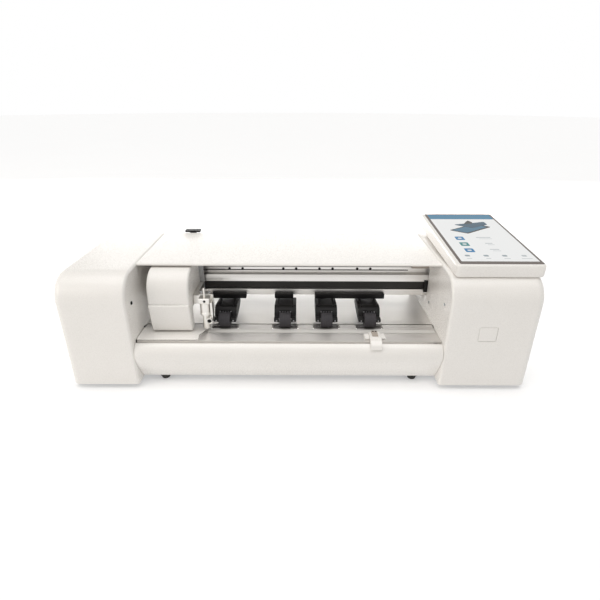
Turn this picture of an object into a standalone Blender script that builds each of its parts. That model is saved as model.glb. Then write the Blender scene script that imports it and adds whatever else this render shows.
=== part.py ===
"""Desktop vinyl cutter: two side casings, a beam with a cutting carriage, a feed shaft under four pinch
wheels, and a touch screen on the right casing.

Everything is laid out in the machine's own frame, in metres: X to the right, Y back from the casings'
front faces, Z up from the casings' lower edges. One empty then stands the machine on the floor, centred
on the origin.
"""

import math

import bmesh
import bpy
from mathutils import Matrix, Vector

# Driving dimensions
WIDTH = 0.5405
CASING_HEIGHT = 0.135
CASING_DEPTH = 0.183
CASING_ROUND = 0.0307
BACK_ROUND = 0.009
CASING_RIM = 0.0095
INNER_RIM_PART = 0.35
WALL = 0.0025
LEFT_WALL_X = -0.1905
RIGHT_WALL_X = 0.1664
FOOT_HEIGHT = 0.006
GAP = 0.0003
NOSE_Y = -0.0004
BACK_Y = 0.1856

# Media path
PLATEN_Z = 0.053
SHAFT_Y = 0.0485
SHAFT_Z = 0.047
SHAFT_R = 0.005
GRIT_R = 0.006
GRIT_WINDOW = 0.033
WHEEL_R = 0.009
WHEEL_Z = PLATEN_Z + GAP + WHEEL_R
WHEEL_X = (-0.0915, -0.0175, 0.0335, 0.0865)

# Beam and belt
BEAM_FRONT_Y = 0.094
BEAM_BACK_Y = 0.138
BEAM_TOP_Z = 0.111
BEAM_BOTTOM_Z = 0.075
BELT_Y = 0.103
BELT_Z = 0.089
BELT_HALF = 0.0048
PULLEY_R = 0.0055
LEFT_PULLEY_X = -0.206
RIGHT_PULLEY_X = 0.195

# Pinch arms and the lever that lifts them
ARM_PIN_Y = 0.092
ARM_PIN_Z = 0.0675
LEVER_Y = 0.149
LEVER_Z = 0.082
LEVER_X = -0.1523

# Carriage and tool
COVER_LEFT_X = -0.1755
COVER_RIGHT_X = -0.127
COVER_SPLIT_Z = 0.0925
TOOL_X = -0.111
TOOL_Y = 0.034
TOOL_TIP_Z = 0.0563
KNOB_X = -0.106
KNOB_Z = 0.0712

# Feed drive in the right casing
FEED_BELT_X = 0.191
FEED_MOTOR_Y = 0.148
FEED_MOTOR_Z = 0.028
SHAFT_PULLEY_R = 0.014
MOTOR_PULLEY_R = 0.007

# Touch screen
SCREEN_TILT = math.radians(4.83)
SCREEN_FRONT_Y = 0.0193
SCREEN_FRONT_Z = 0.1469
SCREEN_X = 0.22235
SCREEN_W = 0.0927
SCREEN_L = 0.163
SCREEN_T = 0.005

TRIMMER_X = 0.089

# Power inlet and switch, on the right casing's back
INLET_X = 0.248
INLET_Z = 0.030
INLET_R = 0.006
ROCKER_X = 0.218
ROCKER_Z = 0.068
ROCKER_HOUSE_W = 0.020
ROCKER_HOUSE_H = 0.014
ROCKER_TILT = math.radians(8)

for old in list(bpy.data.objects):
    bpy.data.objects.remove(old)

PARTS = bpy.data.collections.new("vinyl_cutter")
CUTTERS = bpy.data.collections.new("cutters")
bpy.context.scene.collection.children.link(PARTS)
bpy.context.scene.collection.children.link(CUTTERS)

STAND = bpy.data.objects.new("machine_frame", None)
STAND.location = (0.0, -(NOSE_Y + BACK_Y) / 2, FOOT_HEIGHT)
PARTS.objects.link(STAND)

# How a flat outline's own plane lies for each direction that it is given thickness in.
OUTLINE_TURN = {
    "X": Matrix(((0, 0, 1, 0), (1, 0, 0, 0), (0, 1, 0, 0), (0, 0, 0, 1))),
    "Y": Matrix(((1, 0, 0, 0), (0, 0, -1, 0), (0, 1, 0, 0), (0, 0, 0, 1))),
    "Z": Matrix.Identity(4),
}
AXIS_TURN = {
    "X": (0.0, math.pi / 2, 0.0),
    "Y": (-math.pi / 2, 0.0, 0.0),
    "Z": (0.0, 0.0, 0.0),
}


def finish(name, colour, roughness, metallic=0.0):
    """A material with one Principled shader."""
    made = bpy.data.materials.new(name)
    made.use_nodes = True
    shader = made.node_tree.nodes["Principled BSDF"]
    shader.inputs["Base Color"].default_value = (*colour, 1.0)
    shader.inputs["Roughness"].default_value = roughness
    shader.inputs["Metallic"].default_value = metallic
    return made


WHITE = finish("gloss_white_abs", (0.86, 0.85, 0.83), 0.25)
BLACK = finish("black_plastic", (0.012, 0.011, 0.011), 0.45)
RUBBER = finish("black_rubber", (0.03, 0.03, 0.032), 0.8)
STEEL = finish("zinc_plated_steel", (0.58, 0.58, 0.58), 0.4, 1.0)
BRIGHT = finish("ground_steel", (0.75, 0.75, 0.75), 0.2, 1.0)
ALUMINIUM = finish("anodised_aluminium", (0.62, 0.61, 0.6), 0.35, 1.0)
BEIGE = finish("beige_plastic", (0.47, 0.42, 0.37), 0.5)
STRIP = finish("cutting_mat_strip", (0.75, 0.74, 0.72), 0.6)
GLASS = finish("screen_glass", (0.05, 0.06, 0.07), 0.08)
BOARD = finish("circuit_board", (0.02, 0.16, 0.07), 0.5)


def add(name, mesh, material, origin=(0.0, 0.0, 0.0), helper=False):
    """An object for a mesh drawn in the machine's frame, with its own origin there."""
    mesh.transform(Matrix.Translation([-value for value in origin]))
    obj = bpy.data.objects.new(name, mesh)
    obj.location = origin
    obj.parent = STAND
    if helper:
        CUTTERS.objects.link(obj)
        obj.hide_render = True
        obj.display_type = "WIRE"
        return obj
    mesh.materials.append(material)
    mesh.shade_smooth()
    mesh.set_sharp_from_angle(angle=math.radians(32))
    PARTS.objects.link(obj)
    return obj


def box_mesh(low, high):
    work = bmesh.new()
    bmesh.ops.create_cube(work, size=1.0)
    size = [top - bottom for bottom, top in zip(low, high)]
    centre = [(top + bottom) / 2 for bottom, top in zip(low, high)]
    bmesh.ops.scale(work, vec=size, verts=work.verts)
    bmesh.ops.translate(work, vec=centre, verts=work.verts)
    mesh = bpy.data.meshes.new("box")
    work.to_mesh(mesh)
    work.free()
    return mesh


def rod_mesh(axis, centre, low, high, radius, sides=24):
    """A round bar along one axis. centre is its place across that axis, in X, Y, Z order."""
    work = bmesh.new()
    bmesh.ops.create_cone(
        work, cap_ends=True, segments=sides, radius1=radius, radius2=radius, depth=high - low
    )
    middle = (low + high) / 2
    places = {"X": (middle, *centre), "Y": (centre[0], middle, centre[1]), "Z": (*centre, middle)}
    turn = {
        "X": Matrix.Rotation(math.pi / 2, 4, "Y"),
        "Y": Matrix.Rotation(math.pi / 2, 4, "X"),
        "Z": Matrix.Identity(4),
    }
    bmesh.ops.transform(work, matrix=Matrix.Translation(places[axis]) @ turn[axis], verts=work.verts)
    mesh = bpy.data.meshes.new("rod")
    work.to_mesh(mesh)
    work.free()
    return mesh


def outline_mesh(loops, axis, low, high):
    """A filled 2D curve with thickness. Points are (Y, Z) along X, (X, Z) along Y and (X, Y) along Z."""
    curve = bpy.data.curves.new("outline", "CURVE")
    curve.dimensions = "2D"
    curve.fill_mode = "BOTH"
    curve.extrude = (high - low) / 2
    for loop in loops:
        spline = curve.splines.new("POLY")
        spline.points.add(len(loop) - 1)
        spline.use_cyclic_u = True
        for point, place in zip(spline.points, loop):
            point.co = (*place, 0.0, 1.0)
    holder = bpy.data.objects.new("outline", curve)
    bpy.context.scene.collection.objects.link(holder)
    bpy.context.view_layer.update()
    graph = bpy.context.evaluated_depsgraph_get()
    mesh = bpy.data.meshes.new_from_object(holder.evaluated_get(graph))
    bpy.data.objects.remove(holder)
    middle = {"X": ((low + high) / 2, 0, 0), "Y": (0, (low + high) / 2, 0), "Z": (0, 0, (low + high) / 2)}
    mesh.transform(Matrix.Translation(middle[axis]) @ OUTLINE_TURN[axis])
    mesh.materials.clear()
    work = bmesh.new()
    work.from_mesh(mesh)
    bmesh.ops.remove_doubles(work, verts=work.verts, dist=0.000001)
    bmesh.ops.recalc_face_normals(work, faces=work.faces)
    work.to_mesh(mesh)
    work.free()
    return mesh


def strip_mesh(points, low, high):
    """An open sheet along X through (Y, Z) points, facing out when they run up the front and down behind."""
    work = bmesh.new()
    rows = [
        (work.verts.new((low, y, z)), work.verts.new((high, y, z)))
        for y, z in points
    ]
    for (a, b), (c, d) in zip(rows, rows[1:]):
        work.faces.new((a, b, d, c))
    mesh = bpy.data.meshes.new("strip")
    work.to_mesh(mesh)
    work.free()
    return mesh


def case_mesh(points, corners, low, high, weights):
    """An open case: a strip along X and two end faces. weights are the parts of a bevel that round their rims."""
    work = bmesh.new()
    rim = work.edges.layers.float.new("bevel_weight_edge")
    ends = []
    for x in (low, high):
        ends.append([work.verts.new((x, y, z)) for y, z in (*points, *corners)])
    count = len(points)
    for index in range(count - 1):
        work.faces.new((ends[0][index], ends[1][index], ends[1][index + 1], ends[0][index + 1]))
    for end, weight in zip(ends, weights):
        work.faces.new(end)
        for first, second in zip(end[: count - 1], end[1:count]):
            work.edges.get((first, second))[rim] = weight
    bmesh.ops.recalc_face_normals(work, faces=work.faces)
    mesh = bpy.data.meshes.new("case")
    work.to_mesh(mesh)
    work.free()
    return mesh


def bevel(obj, width, segments=2, by_weight=False):
    modifier = obj.modifiers.new("round", "BEVEL")
    modifier.width = width
    modifier.segments = segments
    modifier.limit_method = "WEIGHT" if by_weight else "ANGLE"
    modifier.angle_limit = math.radians(50)
    return obj


def thicken(obj, thickness):
    modifier = obj.modifiers.new("sheet", "SOLIDIFY")
    modifier.thickness = thickness
    modifier.offset = -1.0
    modifier.use_even_offset = True
    return obj


def boolean(obj, operation, mesh):
    """Cuts or joins a helper mesh, kept as its own hidden object."""
    helper = add(f"{obj.name}_{operation.lower()}", mesh, None, helper=True)
    modifier = obj.modifiers.new(operation.lower(), "BOOLEAN")
    modifier.operation = operation
    modifier.object = helper
    return helper


def cut(obj, mesh):
    return boolean(obj, "DIFFERENCE", mesh)


def unite(obj, mesh):
    return boolean(obj, "UNION", mesh)


def arc(centre_y, centre_z, radius, start, end, steps):
    """Points along an arc, in degrees from +Y towards +Z."""
    turns = [math.radians(start + (end - start) * step / steps) for step in range(steps + 1)]
    return [(centre_y + radius * math.cos(t), centre_z + radius * math.sin(t)) for t in turns]


def turned(name, profile, axis, centre, material, steps=24):
    """A turned piece. The profile's (radius, height) points run down the outer side, top to bottom."""
    work = bmesh.new()
    verts = [work.verts.new((radius, 0.0, height)) for radius, height in profile]
    for first, second in zip(verts, verts[1:]):
        work.edges.new((first, second))
    if profile[0][0] > 0.0:
        work.edges.new((verts[-1], verts[0]))
    mesh = bpy.data.meshes.new(name)
    work.to_mesh(mesh)
    work.free()
    obj = bpy.data.objects.new(name, mesh)
    obj.location = centre
    obj.rotation_euler = AXIS_TURN[axis]
    obj.parent = STAND
    mesh.materials.append(material)
    PARTS.objects.link(obj)
    screw = obj.modifiers.new("turn", "SCREW")
    screw.steps = steps
    screw.render_steps = steps
    screw.use_merge_vertices = True
    screw.merge_threshold = 0.00001
    screw.use_smooth_shade = True
    return obj


def box(name, low, high, material, round_edges=0.0):
    obj = add(name, box_mesh(low, high), material)
    if round_edges:
        bevel(obj, round_edges)
    return obj


def section():
    """The casings' side outline, up the front, over the top and down the back."""
    top = CASING_HEIGHT
    front = arc(CASING_ROUND, top - CASING_ROUND, CASING_ROUND, 180, 90, 6)
    back = arc(CASING_DEPTH - BACK_ROUND, top - BACK_ROUND, BACK_ROUND, 90, 0, 3)
    return [(0.0, 0.0), *front, *back, (CASING_DEPTH, 0.0)]


def make_casing(name, outer_x, inner_x):
    """A moulded shell, open below. Its inner wall lets the beam and the feed and lift shafts through."""
    low, high = min(outer_x, inner_x), max(outer_x, inner_x)
    weights = (1.0, INNER_RIM_PART) if outer_x < inner_x else (INNER_RIM_PART, 1.0)
    casing = add(name, case_mesh(section(), [], low, high, weights), WHITE)
    bevel(casing, CASING_RIM, 2, by_weight=True)
    thicken(casing, WALL)
    near, far = inner_x - 0.006, inner_x + 0.006
    margin = 0.0006
    cut(
        casing,
        box_mesh(
            (near, BEAM_FRONT_Y - margin, BEAM_BOTTOM_Z - margin),
            (far, BEAM_BACK_Y + margin, BEAM_TOP_Z + margin),
        ),
    )
    cut(casing, rod_mesh("X", (SHAFT_Y, SHAFT_Z), near, far, 0.0072, 8))
    cut(casing, rod_mesh("X", (LEVER_Y, LEVER_Z), near, far, 0.0047, 8))
    cut(casing, box_mesh((near, 0.0195, -0.001), (far, 0.1786, 0.0034)))
    return casing


def make_casings():
    make_casing("left_casing", -WIDTH / 2, LEFT_WALL_X)
    right = make_casing("right_casing", WIDTH / 2, RIGHT_WALL_X)
    plate = (0.2026, 0.2230, 0.0604, 0.0780)
    margin = 0.0004
    cut(
        right,
        box_mesh(
            (plate[0] - margin, -0.001, plate[2] - margin),
            (plate[1] + margin, 0.0009, plate[3] + margin),
        ),
    )
    box("card_plate", (plate[0], 0.0001, plate[2]), (plate[1], 0.0006, plate[3]), WHITE)
    back = CASING_DEPTH
    half_w, half_h = ROCKER_HOUSE_W / 2 + 0.0005, ROCKER_HOUSE_H / 2 + 0.0005
    cut(
        right,
        box_mesh(
            (ROCKER_X - half_w, back - 0.01, ROCKER_Z - half_h),
            (ROCKER_X + half_w, back + 0.01, ROCKER_Z + half_h),
        ),
    )
    hole_r = (INLET_R + GAP) / math.cos(math.pi / 8)
    cut(right, rod_mesh("Y", (INLET_X, INLET_Z), back - 0.01, back + 0.01, hole_r, 8))


def make_chassis():
    """The folded steel tray, the two side frames and the feet."""
    wall_left, wall_right = LEFT_WALL_X - 0.0035, RIGHT_WALL_X + 0.0035
    side, near, middle, far = WIDTH / 2 - 0.0042, 0.0042, 0.0210, 0.1785
    corner = 0.006
    half = [
        (0.0, middle),
        (wall_right, middle),
        (wall_right, near),
        (side - corner, near),
        (side, near + corner),
        (side, far - corner),
        (side - corner, far),
        (0.0, far),
    ]
    shift = wall_right + wall_left
    mirrored = [(shift - x if x == wall_right else -x, y) for x, y in reversed(half[1:-1])]
    tray = add("base_plate", outline_mesh([half + mirrored], "Z", 0.001, 0.003), STEEL)
    back_lip = [
        (0.1765, 0.0020),
        (0.1806, 0.0020),
        (0.1806, 0.0502),
        (0.1788, 0.0502),
        (0.1788, 0.0028),
        (0.1765, 0.0028),
    ]
    unite(tray, outline_mesh([back_lip], "X", LEFT_WALL_X + 0.001, RIGHT_WALL_X - 0.001))
    for column in range(5):
        x = 0.205 + 0.011 * column
        cut(tray, box_mesh((x, 0.060, -0.001), (x + 0.004, 0.110, 0.005)))
    for name, low in (("left_frame", -0.1965), ("right_frame", 0.1695)):
        high = low + 0.0029
        frame = box(name, (low, 0.024, 0.0034), (high, 0.172, 0.117), STEEL)
        cut(frame, rod_mesh("X", (SHAFT_Y, SHAFT_Z), low - 0.01, high + 0.01, 0.0113))
        cut(frame, rod_mesh("X", (LEVER_Y, LEVER_Z), low - 0.01, high + 0.01, 0.0043, 16))
        cut(frame, box_mesh((low - 0.01, 0.0935, 0.0825), (high + 0.01, 0.1125, 0.0955)))
    number = 0
    for y in (0.025, 0.160):
        for x in (-0.166, 0.140):
            number += 1
            foot = [(0.0, 0.0007), (0.0075, 0.0007), (0.0075, -0.0025), (0.0065, -0.0060), (0.0, -0.0060)]
            turned(f"foot_{number}", foot, "Z", (x, y, 0.0), RUBBER, 20)


def nose(steps):
    """The front cover's outline from its lower edge up: a tapering underside, then a round nose."""
    widest_z = 0.0375
    under = []
    for step in range(steps):
        drop = 1.0 - step / steps
        under.append((NOSE_Y + 0.0174 * drop**1.4, widest_z - 0.0357 * drop))
    over = []
    for step in range(steps + 1):
        turn = math.radians(180 - 77 * step / steps)
        over.append((0.011 + 0.0114 * math.cos(turn), widest_z + 0.0145 * math.sin(turn)))
    return [(0.0204, 0.0016), *under, *over]


def make_covers():
    low, high = LEFT_WALL_X + GAP, RIGHT_WALL_X - GAP
    front = add("front_cover", strip_mesh(nose(7), low, high), WHITE)
    thicken(front, 0.0022)
    top = CASING_HEIGHT
    lip = arc(0.0514, top - 0.002, 0.002, 180, 90, 3)
    back = arc(CASING_DEPTH - BACK_ROUND, top - BACK_ROUND, BACK_ROUND, 90, 0, 5)
    over = add(
        "top_cover",
        strip_mesh([(0.0494, top - 0.0026), *lip, *back, (CASING_DEPTH, 0.1203)], low, high),
        WHITE,
    )
    thicken(over, 0.002)
    notch = (LEVER_X - 0.0122, LEVER_X + 0.0122)
    cut(over, box_mesh((notch[0], 0.1735, 0.110), (notch[1], 0.190, 0.140)))
    rear = add("rear_cover", strip_mesh([(CASING_DEPTH, 0.070), (CASING_DEPTH, 0.120)], low, high), WHITE)
    thicken(rear, 0.002)
    cut(rear, box_mesh((notch[0], 0.170, 0.084), (notch[1], 0.190, 0.130)))


def make_platen():
    """The front platen, with its trimmer track and a window for each grit sleeve, the cutting strip let into
    it, and the sheet behind the feed slot.
    """
    low, high = LEFT_WALL_X + GAP, RIGHT_WALL_X - GAP
    top = PLATEN_Z
    profile = [
        (0.0120, top),
        (0.0315, top),
        (0.0315, top - 0.001),
        (0.0402, top - 0.001),
        (0.0402, top),
        (0.0423, top),
        (0.0423, 0.0400),
        (0.0403, 0.0400),
        (0.0403, 0.0500),
        (0.0140, 0.0500),
        (0.0140, 0.0440),
        (0.0092, 0.0440),
        (0.0092, 0.0490),
        (0.0120, 0.0490),
    ]
    platen = add("platen", outline_mesh([profile], "X", low, high), ALUMINIUM)
    edges = [low + 0.0003]
    for x in WHEEL_X:
        edges += [x - GRIT_WINDOW / 2, x + GRIT_WINDOW / 2]
    edges.append(high - 0.0003)
    for start, end in zip(edges[::2], edges[1::2]):
        unite(platen, box_mesh((start, 0.0415, SHAFT_Z + SHAFT_R + GAP), (end, 0.0530, top - 0.0001)))
    box(
        "cutting_strip",
        (LEFT_WALL_X + 0.079, 0.0318, top - 0.0007),
        (high - 0.001, 0.0399, top + 0.0001),
        STRIP,
    )
    rear = add(
        "rear_platen",
        strip_mesh([(0.0548, 0.0400), (0.0548, top), (0.1826, top)], low, high),
        ALUMINIUM,
    )
    thicken(rear, 0.0015)
    cover = [
        (-0.1899, 0.0125),
        (-0.1180, 0.0125),
        (-0.1190, 0.0240),
        (-0.1125, 0.0380),
        (-0.1125, 0.0415),
        (-0.1899, 0.0415),
    ]
    cover_top = top + 0.0019
    bevel(add("left_platen_cover", outline_mesh([cover], "Z", top + GAP, cover_top), WHITE), 0.0006)


def make_beam():
    bulge = arc(0.1020, 0.0945, 0.0080, 100, 180, 6)
    profile = [
        (BEAM_BACK_Y, BEAM_BOTTOM_Z),
        (BEAM_BACK_Y, BEAM_TOP_Z),
        (0.1030, BEAM_TOP_Z),
        (0.1030, 0.1062),
        (0.1010, 0.1052),
        (0.1010, 0.1038),
        *bulge,
        (0.1120, 0.0945),
        (0.1120, 0.0835),
        (BEAM_FRONT_Y, 0.0835),
        (BEAM_FRONT_Y, 0.0775),
        (0.0952, 0.0772),
        (0.0952, BEAM_BOTTOM_Z),
    ]
    add("beam", outline_mesh([profile], "X", LEFT_WALL_X - 0.0028, RIGHT_WALL_X + 0.0028), ALUMINIUM)
    rail_low = (LEFT_WALL_X + GAP, 0.1040, BEAM_TOP_Z + GAP)
    bevel(box("linear_rail", rail_low, (0.1435, 0.1160, 0.1166), BRIGHT), 0.0005, 1)
    stop_low = (0.1440, 0.0970, BEAM_TOP_Z + GAP)
    box("end_stop", stop_low, (RIGHT_WALL_X - GAP, 0.1240, 0.1185), BEIGE, 0.001)


def band_loop(first, second, first_r, second_r, steps=10):
    """The outer path of a band round two wheels, in the plane of their centres."""
    along = math.atan2(second[1] - first[1], second[0] - first[0])
    distance = math.dist(first, second)
    lean = math.acos((first_r - second_r) / distance)
    points = []
    for centre, radius, start, end in (
        (second, second_r, along - lean, along + lean),
        (first, first_r, along + lean, along - lean + 2 * math.pi),
    ):
        for step in range(steps + 1):
            turn = start + (end - start) * step / steps
            points.append((centre[0] + radius * math.cos(turn), centre[1] + radius * math.sin(turn)))
    return points


def make_belts():
    inner, outer = GAP, 0.0016
    left, right = (LEFT_PULLEY_X, BELT_Y), (RIGHT_PULLEY_X, BELT_Y)
    loops = [band_loop(left, right, PULLEY_R + grow, PULLEY_R + grow) for grow in (outer, inner)]
    add("carriage_belt", outline_mesh(loops, "Z", BELT_Z - BELT_HALF, BELT_Z + BELT_HALF), RUBBER)
    shaft, motor = (SHAFT_Y, SHAFT_Z), (FEED_MOTOR_Y, FEED_MOTOR_Z)
    loops = [band_loop(shaft, motor, SHAFT_PULLEY_R + grow, MOTOR_PULLEY_R + grow) for grow in (outer, inner)]
    add("feed_belt", outline_mesh(loops, "X", FEED_BELT_X - 0.004, FEED_BELT_X + 0.004), RUBBER)


def pulley_profile(radius, bore, half, flange):
    """A belt pulley's section: two flanges, the toothed middle and the bore."""
    lip = half + 0.0009
    return [
        (bore, lip),
        (flange, lip),
        (flange, half + 0.0002),
        (radius, half + 0.0002),
        (radius, -half - 0.0002),
        (flange, -half - 0.0002),
        (flange, -lip),
        (bore, -lip),
    ]


def make_drives():
    carriage_pulley = pulley_profile(PULLEY_R, 0.0028, BELT_HALF, 0.0078)
    turned("belt_drive_pulley", carriage_pulley, "Z", (RIGHT_PULLEY_X, BELT_Y, BELT_Z), BRIGHT, 20)
    turned("belt_idler_pulley", carriage_pulley, "Z", (LEFT_PULLEY_X, BELT_Y, BELT_Z), BRIGHT, 20)
    motor = box(
        "carriage_motor",
        (RIGHT_PULLEY_X - 0.021, BELT_Y - 0.021, 0.0985),
        (RIGHT_PULLEY_X + 0.021, BELT_Y + 0.021, 0.1305),
        BLACK,
    )
    bevel(motor, 0.0025, 1)
    unite(motor, rod_mesh("Z", (RIGHT_PULLEY_X, BELT_Y), 0.0835, 0.110, 0.0024, 16))
    bracket = box("idler_bracket", (-0.2165, 0.0915, 0.0785), (-0.1968, 0.1145, 0.0995), STEEL)
    cut(bracket, box_mesh((-0.230, 0.080, 0.0825), (-0.180, 0.130, 0.0955)))
    unite(bracket, box_mesh((-0.2165, 0.0915, 0.0815), (-0.2150, 0.0945, 0.0965)))
    unite(bracket, box_mesh((-0.2165, 0.1115, 0.0815), (-0.2150, 0.1145, 0.0965)))
    unite(bracket, rod_mesh("Z", (LEFT_PULLEY_X, BELT_Y), 0.0805, 0.0975, 0.0022, 16))
    feed = box(
        "feed_motor",
        (0.1990, FEED_MOTOR_Y - 0.021, FEED_MOTOR_Z - 0.021),
        (0.2370, FEED_MOTOR_Y + 0.021, FEED_MOTOR_Z + 0.021),
        BLACK,
    )
    bevel(feed, 0.0025, 1)
    unite(feed, rod_mesh("X", (FEED_MOTOR_Y, FEED_MOTOR_Z), 0.1850, 0.2100, 0.0024, 16))
    feed_pulley = pulley_profile(MOTOR_PULLEY_R, 0.0028, 0.004, 0.0092)
    turned("feed_motor_pulley", feed_pulley, "X", (FEED_BELT_X, FEED_MOTOR_Y, FEED_MOTOR_Z), BRIGHT, 20)


def make_feed_shaft():
    """One steel shaft with a grit sleeve under each pinch wheel, running in a bearing in each side frame."""
    core, end_r, half_sleeve = SHAFT_R, 0.0040, 0.015
    profile = [(0.0, 0.1985), (end_r, 0.1985), (end_r, 0.1650), (core, 0.1650)]
    for x in reversed(WHEEL_X):
        profile += [(core, x + half_sleeve), (GRIT_R, x + half_sleeve)]
        profile += [(GRIT_R, x - half_sleeve), (core, x - half_sleeve)]
    profile += [(core, -0.1890), (end_r, -0.1890), (end_r, -0.2030), (0.0, -0.2030)]
    turned("drive_shaft", profile, "X", (0.0, SHAFT_Y, SHAFT_Z), BRIGHT, 20)
    ring = [(0.0043, 0.0034), (0.0110, 0.0034), (0.0110, -0.0034), (0.0043, -0.0034)]
    turned("left_bearing", ring, "X", (-0.1971, SHAFT_Y, SHAFT_Z), BRIGHT)
    turned("right_bearing", ring, "X", (0.1730, SHAFT_Y, SHAFT_Z), BRIGHT)
    wheel = pulley_profile(SHAFT_PULLEY_R, 0.0043, 0.004, 0.0165)
    turned("shaft_pulley", wheel, "X", (FEED_BELT_X, SHAFT_Y, SHAFT_Z), BLACK, 28)


def make_pinch_units():
    """Four sprung arms under three mounting bars, each with its own rubber wheel."""
    bars = ((-0.1140, -0.0690), (-0.0320, -0.0080), (0.0200, 0.1100))
    for number, (low, high) in enumerate(bars, 1):
        bar = box(f"pinch_mount_{number}", (low, 0.0862, 0.0733), (high, BEAM_FRONT_Y - GAP, 0.0797), BLACK)
        bevel(bar, 0.0006, 1)
    profile = [
        (0.0960, 0.0645),
        (0.0960, 0.0705),
        (0.0840, 0.0720),
        (0.0640, 0.0748),
        (0.0590, 0.0735),
        (0.0560, 0.0690),
        (0.0545, 0.0630),
        (0.0500, 0.0655),
        (0.0455, 0.0645),
        (0.0450, 0.0605),
        (0.0490, 0.0590),
        (0.0580, 0.0585),
        (0.0860, 0.0610),
    ]
    for number, x in enumerate(WHEEL_X, 1):
        origin = (x, ARM_PIN_Y, ARM_PIN_Z)
        arm = add(
            f"pinch_arm_{number}",
            outline_mesh([profile], "X", x - 0.0135, x + 0.0135),
            BLACK,
            origin,
        )
        bevel(arm, 0.0005, 1)
        cut(arm, box_mesh((x - 0.0075, 0.0380, 0.0500), (x + 0.0075, 0.0588, 0.0685)))
        cut(arm, rod_mesh("X", (SHAFT_Y, WHEEL_Z), x - 0.020, x + 0.020, 0.0019, 12))
        unite(arm, box_mesh((x - 0.0050, 0.0900, 0.0650), (x + 0.0050, 0.1520, 0.0685)))
        tyre, half = WHEEL_R, 0.0070
        wheel = [
            (0.0, 0.0130),
            (0.0016, 0.0130),
            (0.0016, half),
            (tyre - 0.0008, half),
            (tyre, half - 0.0008),
            (tyre, -half + 0.0008),
            (tyre - 0.0008, -half),
            (0.0016, -half),
            (0.0016, -0.0130),
            (0.0, -0.0130),
        ]
        turned(f"pinch_wheel_{number}", wheel, "X", (x, SHAFT_Y, WHEEL_Z), RUBBER, 24)


def make_release_lever():
    """The cross shaft behind the beam, with a cam over each arm's tail and a paddle at the back edge."""
    lever = add(
        "release_lever",
        rod_mesh("X", (LEVER_Y, LEVER_Z), -0.1960, 0.1720, 0.0038, 16),
        BLACK,
        (0.0, LEVER_Y, LEVER_Z),
    )
    rise = math.atan2(0.1362 - LEVER_Z, 0.1812 - LEVER_Y)
    reach = 0.0610
    across = (-math.sin(rise) * 0.003, math.cos(rise) * 0.003)
    tip = (LEVER_Y + reach * math.cos(rise), LEVER_Z + reach * math.sin(rise))
    arm = [
        (LEVER_Y - across[0], LEVER_Z - across[1]),
        (tip[0] - across[0], tip[1] - across[1]),
        (0.1852, 0.1345),
        (0.1852, 0.1372),
        (0.1755, 0.1380),
        (0.1755, 0.1360),
        (tip[0] + across[0], tip[1] + across[1]),
        (LEVER_Y + across[0], LEVER_Z + across[1]),
    ]
    unite(lever, outline_mesh([arm], "X", LEVER_X - 0.0040, LEVER_X + 0.0040))
    unite(lever, box_mesh((LEVER_X - 0.0105, 0.1757, 0.1352), (LEVER_X + 0.0105, 0.1850, 0.1378)))
    lean = math.radians(-50)
    side = (-math.sin(lean) * 0.0025, math.cos(lean) * 0.0025)
    end = (LEVER_Y + 0.0165 * math.cos(lean), LEVER_Z + 0.0165 * math.sin(lean))
    for x in WHEEL_X:
        cam = [
            (LEVER_Y - side[0], LEVER_Z - side[1]),
            (end[0] - side[0], end[1] - side[1]),
            (end[0] + side[0], end[1] + side[1]),
            (LEVER_Y + side[0], LEVER_Z + side[1]),
        ]
        unite(lever, outline_mesh([cam], "X", x - 0.004, x + 0.004))


def make_carriage():
    low, high = COVER_LEFT_X, COVER_RIGHT_X
    origin = (TOOL_X, BELT_Y, BELT_Z)
    crown = arc(0.0520, 0.1040, 0.0260, 180, 95, 6)
    split = COVER_SPLIT_Z + GAP
    above = [(0.0258, split), *crown, (0.0700, 0.1300)]
    upper_mesh = case_mesh(above, [(0.0700, split)], low, high, (1.0, 1.0))
    upper = add("carriage_cover_upper", upper_mesh, WHITE, origin)
    bevel(upper, 0.0028, 3, by_weight=True)
    thicken(upper, 0.0018)
    below = [
        (0.0380, 0.0570),
        (0.0305, 0.0570),
        (0.0290, 0.0585),
        (0.0275, 0.0680),
        (0.0262, 0.0820),
        (0.0258, COVER_SPLIT_Z),
    ]
    corners = [(0.0640, COVER_SPLIT_Z), (0.0640, 0.0860), (0.0380, 0.0840)]
    lower = add("carriage_cover_lower", case_mesh(below, corners, low, high, (1.0, 1.0)), WHITE, origin)
    bevel(lower, 0.0025, 3, by_weight=True)
    thicken(lower, 0.0018)
    plate = add(
        "carriage_plate",
        strip_mesh([(0.0865, 0.0850), (0.0865, 0.1248), (0.1230, 0.1248)], -0.1740, -0.1215),
        STEEL,
        origin,
    )
    thicken(plate, 0.0020)
    unite(plate, box_mesh((-0.1650, 0.0880, 0.0855), (-0.1400, BELT_Y - PULLEY_R - 0.0020, 0.0925)))
    block = [
        (0.0970, 0.1125),
        (0.1034, 0.1125),
        (0.1034, 0.1172),
        (0.1166, 0.1172),
        (0.1166, 0.1125),
        (0.1230, 0.1125),
        (0.1230, 0.1225),
        (0.0970, 0.1225),
    ]
    add("slide_block", outline_mesh([block], "X", -0.1700, -0.1320), STEEL, origin)
    coil = [(0.0, 0.0140), (0.0095, 0.0140), (0.0095, -0.0140), (0.0, -0.0140)]
    turned("tool_solenoid", coil, "Z", (-0.1450, 0.0560, 0.1050), BLACK, 20)
    guide = [
        (-0.1266, 0.0434),
        (-0.1050, 0.0434),
        (-0.1050, 0.0560),
        (-0.1220, 0.0560),
        (-0.1220, 0.0862),
        (-0.1266, 0.0862),
    ]
    bevel(add("tool_guide", outline_mesh([guide], "Z", 0.0860, 0.0970), ALUMINIUM, origin), 0.0005, 1)


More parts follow.
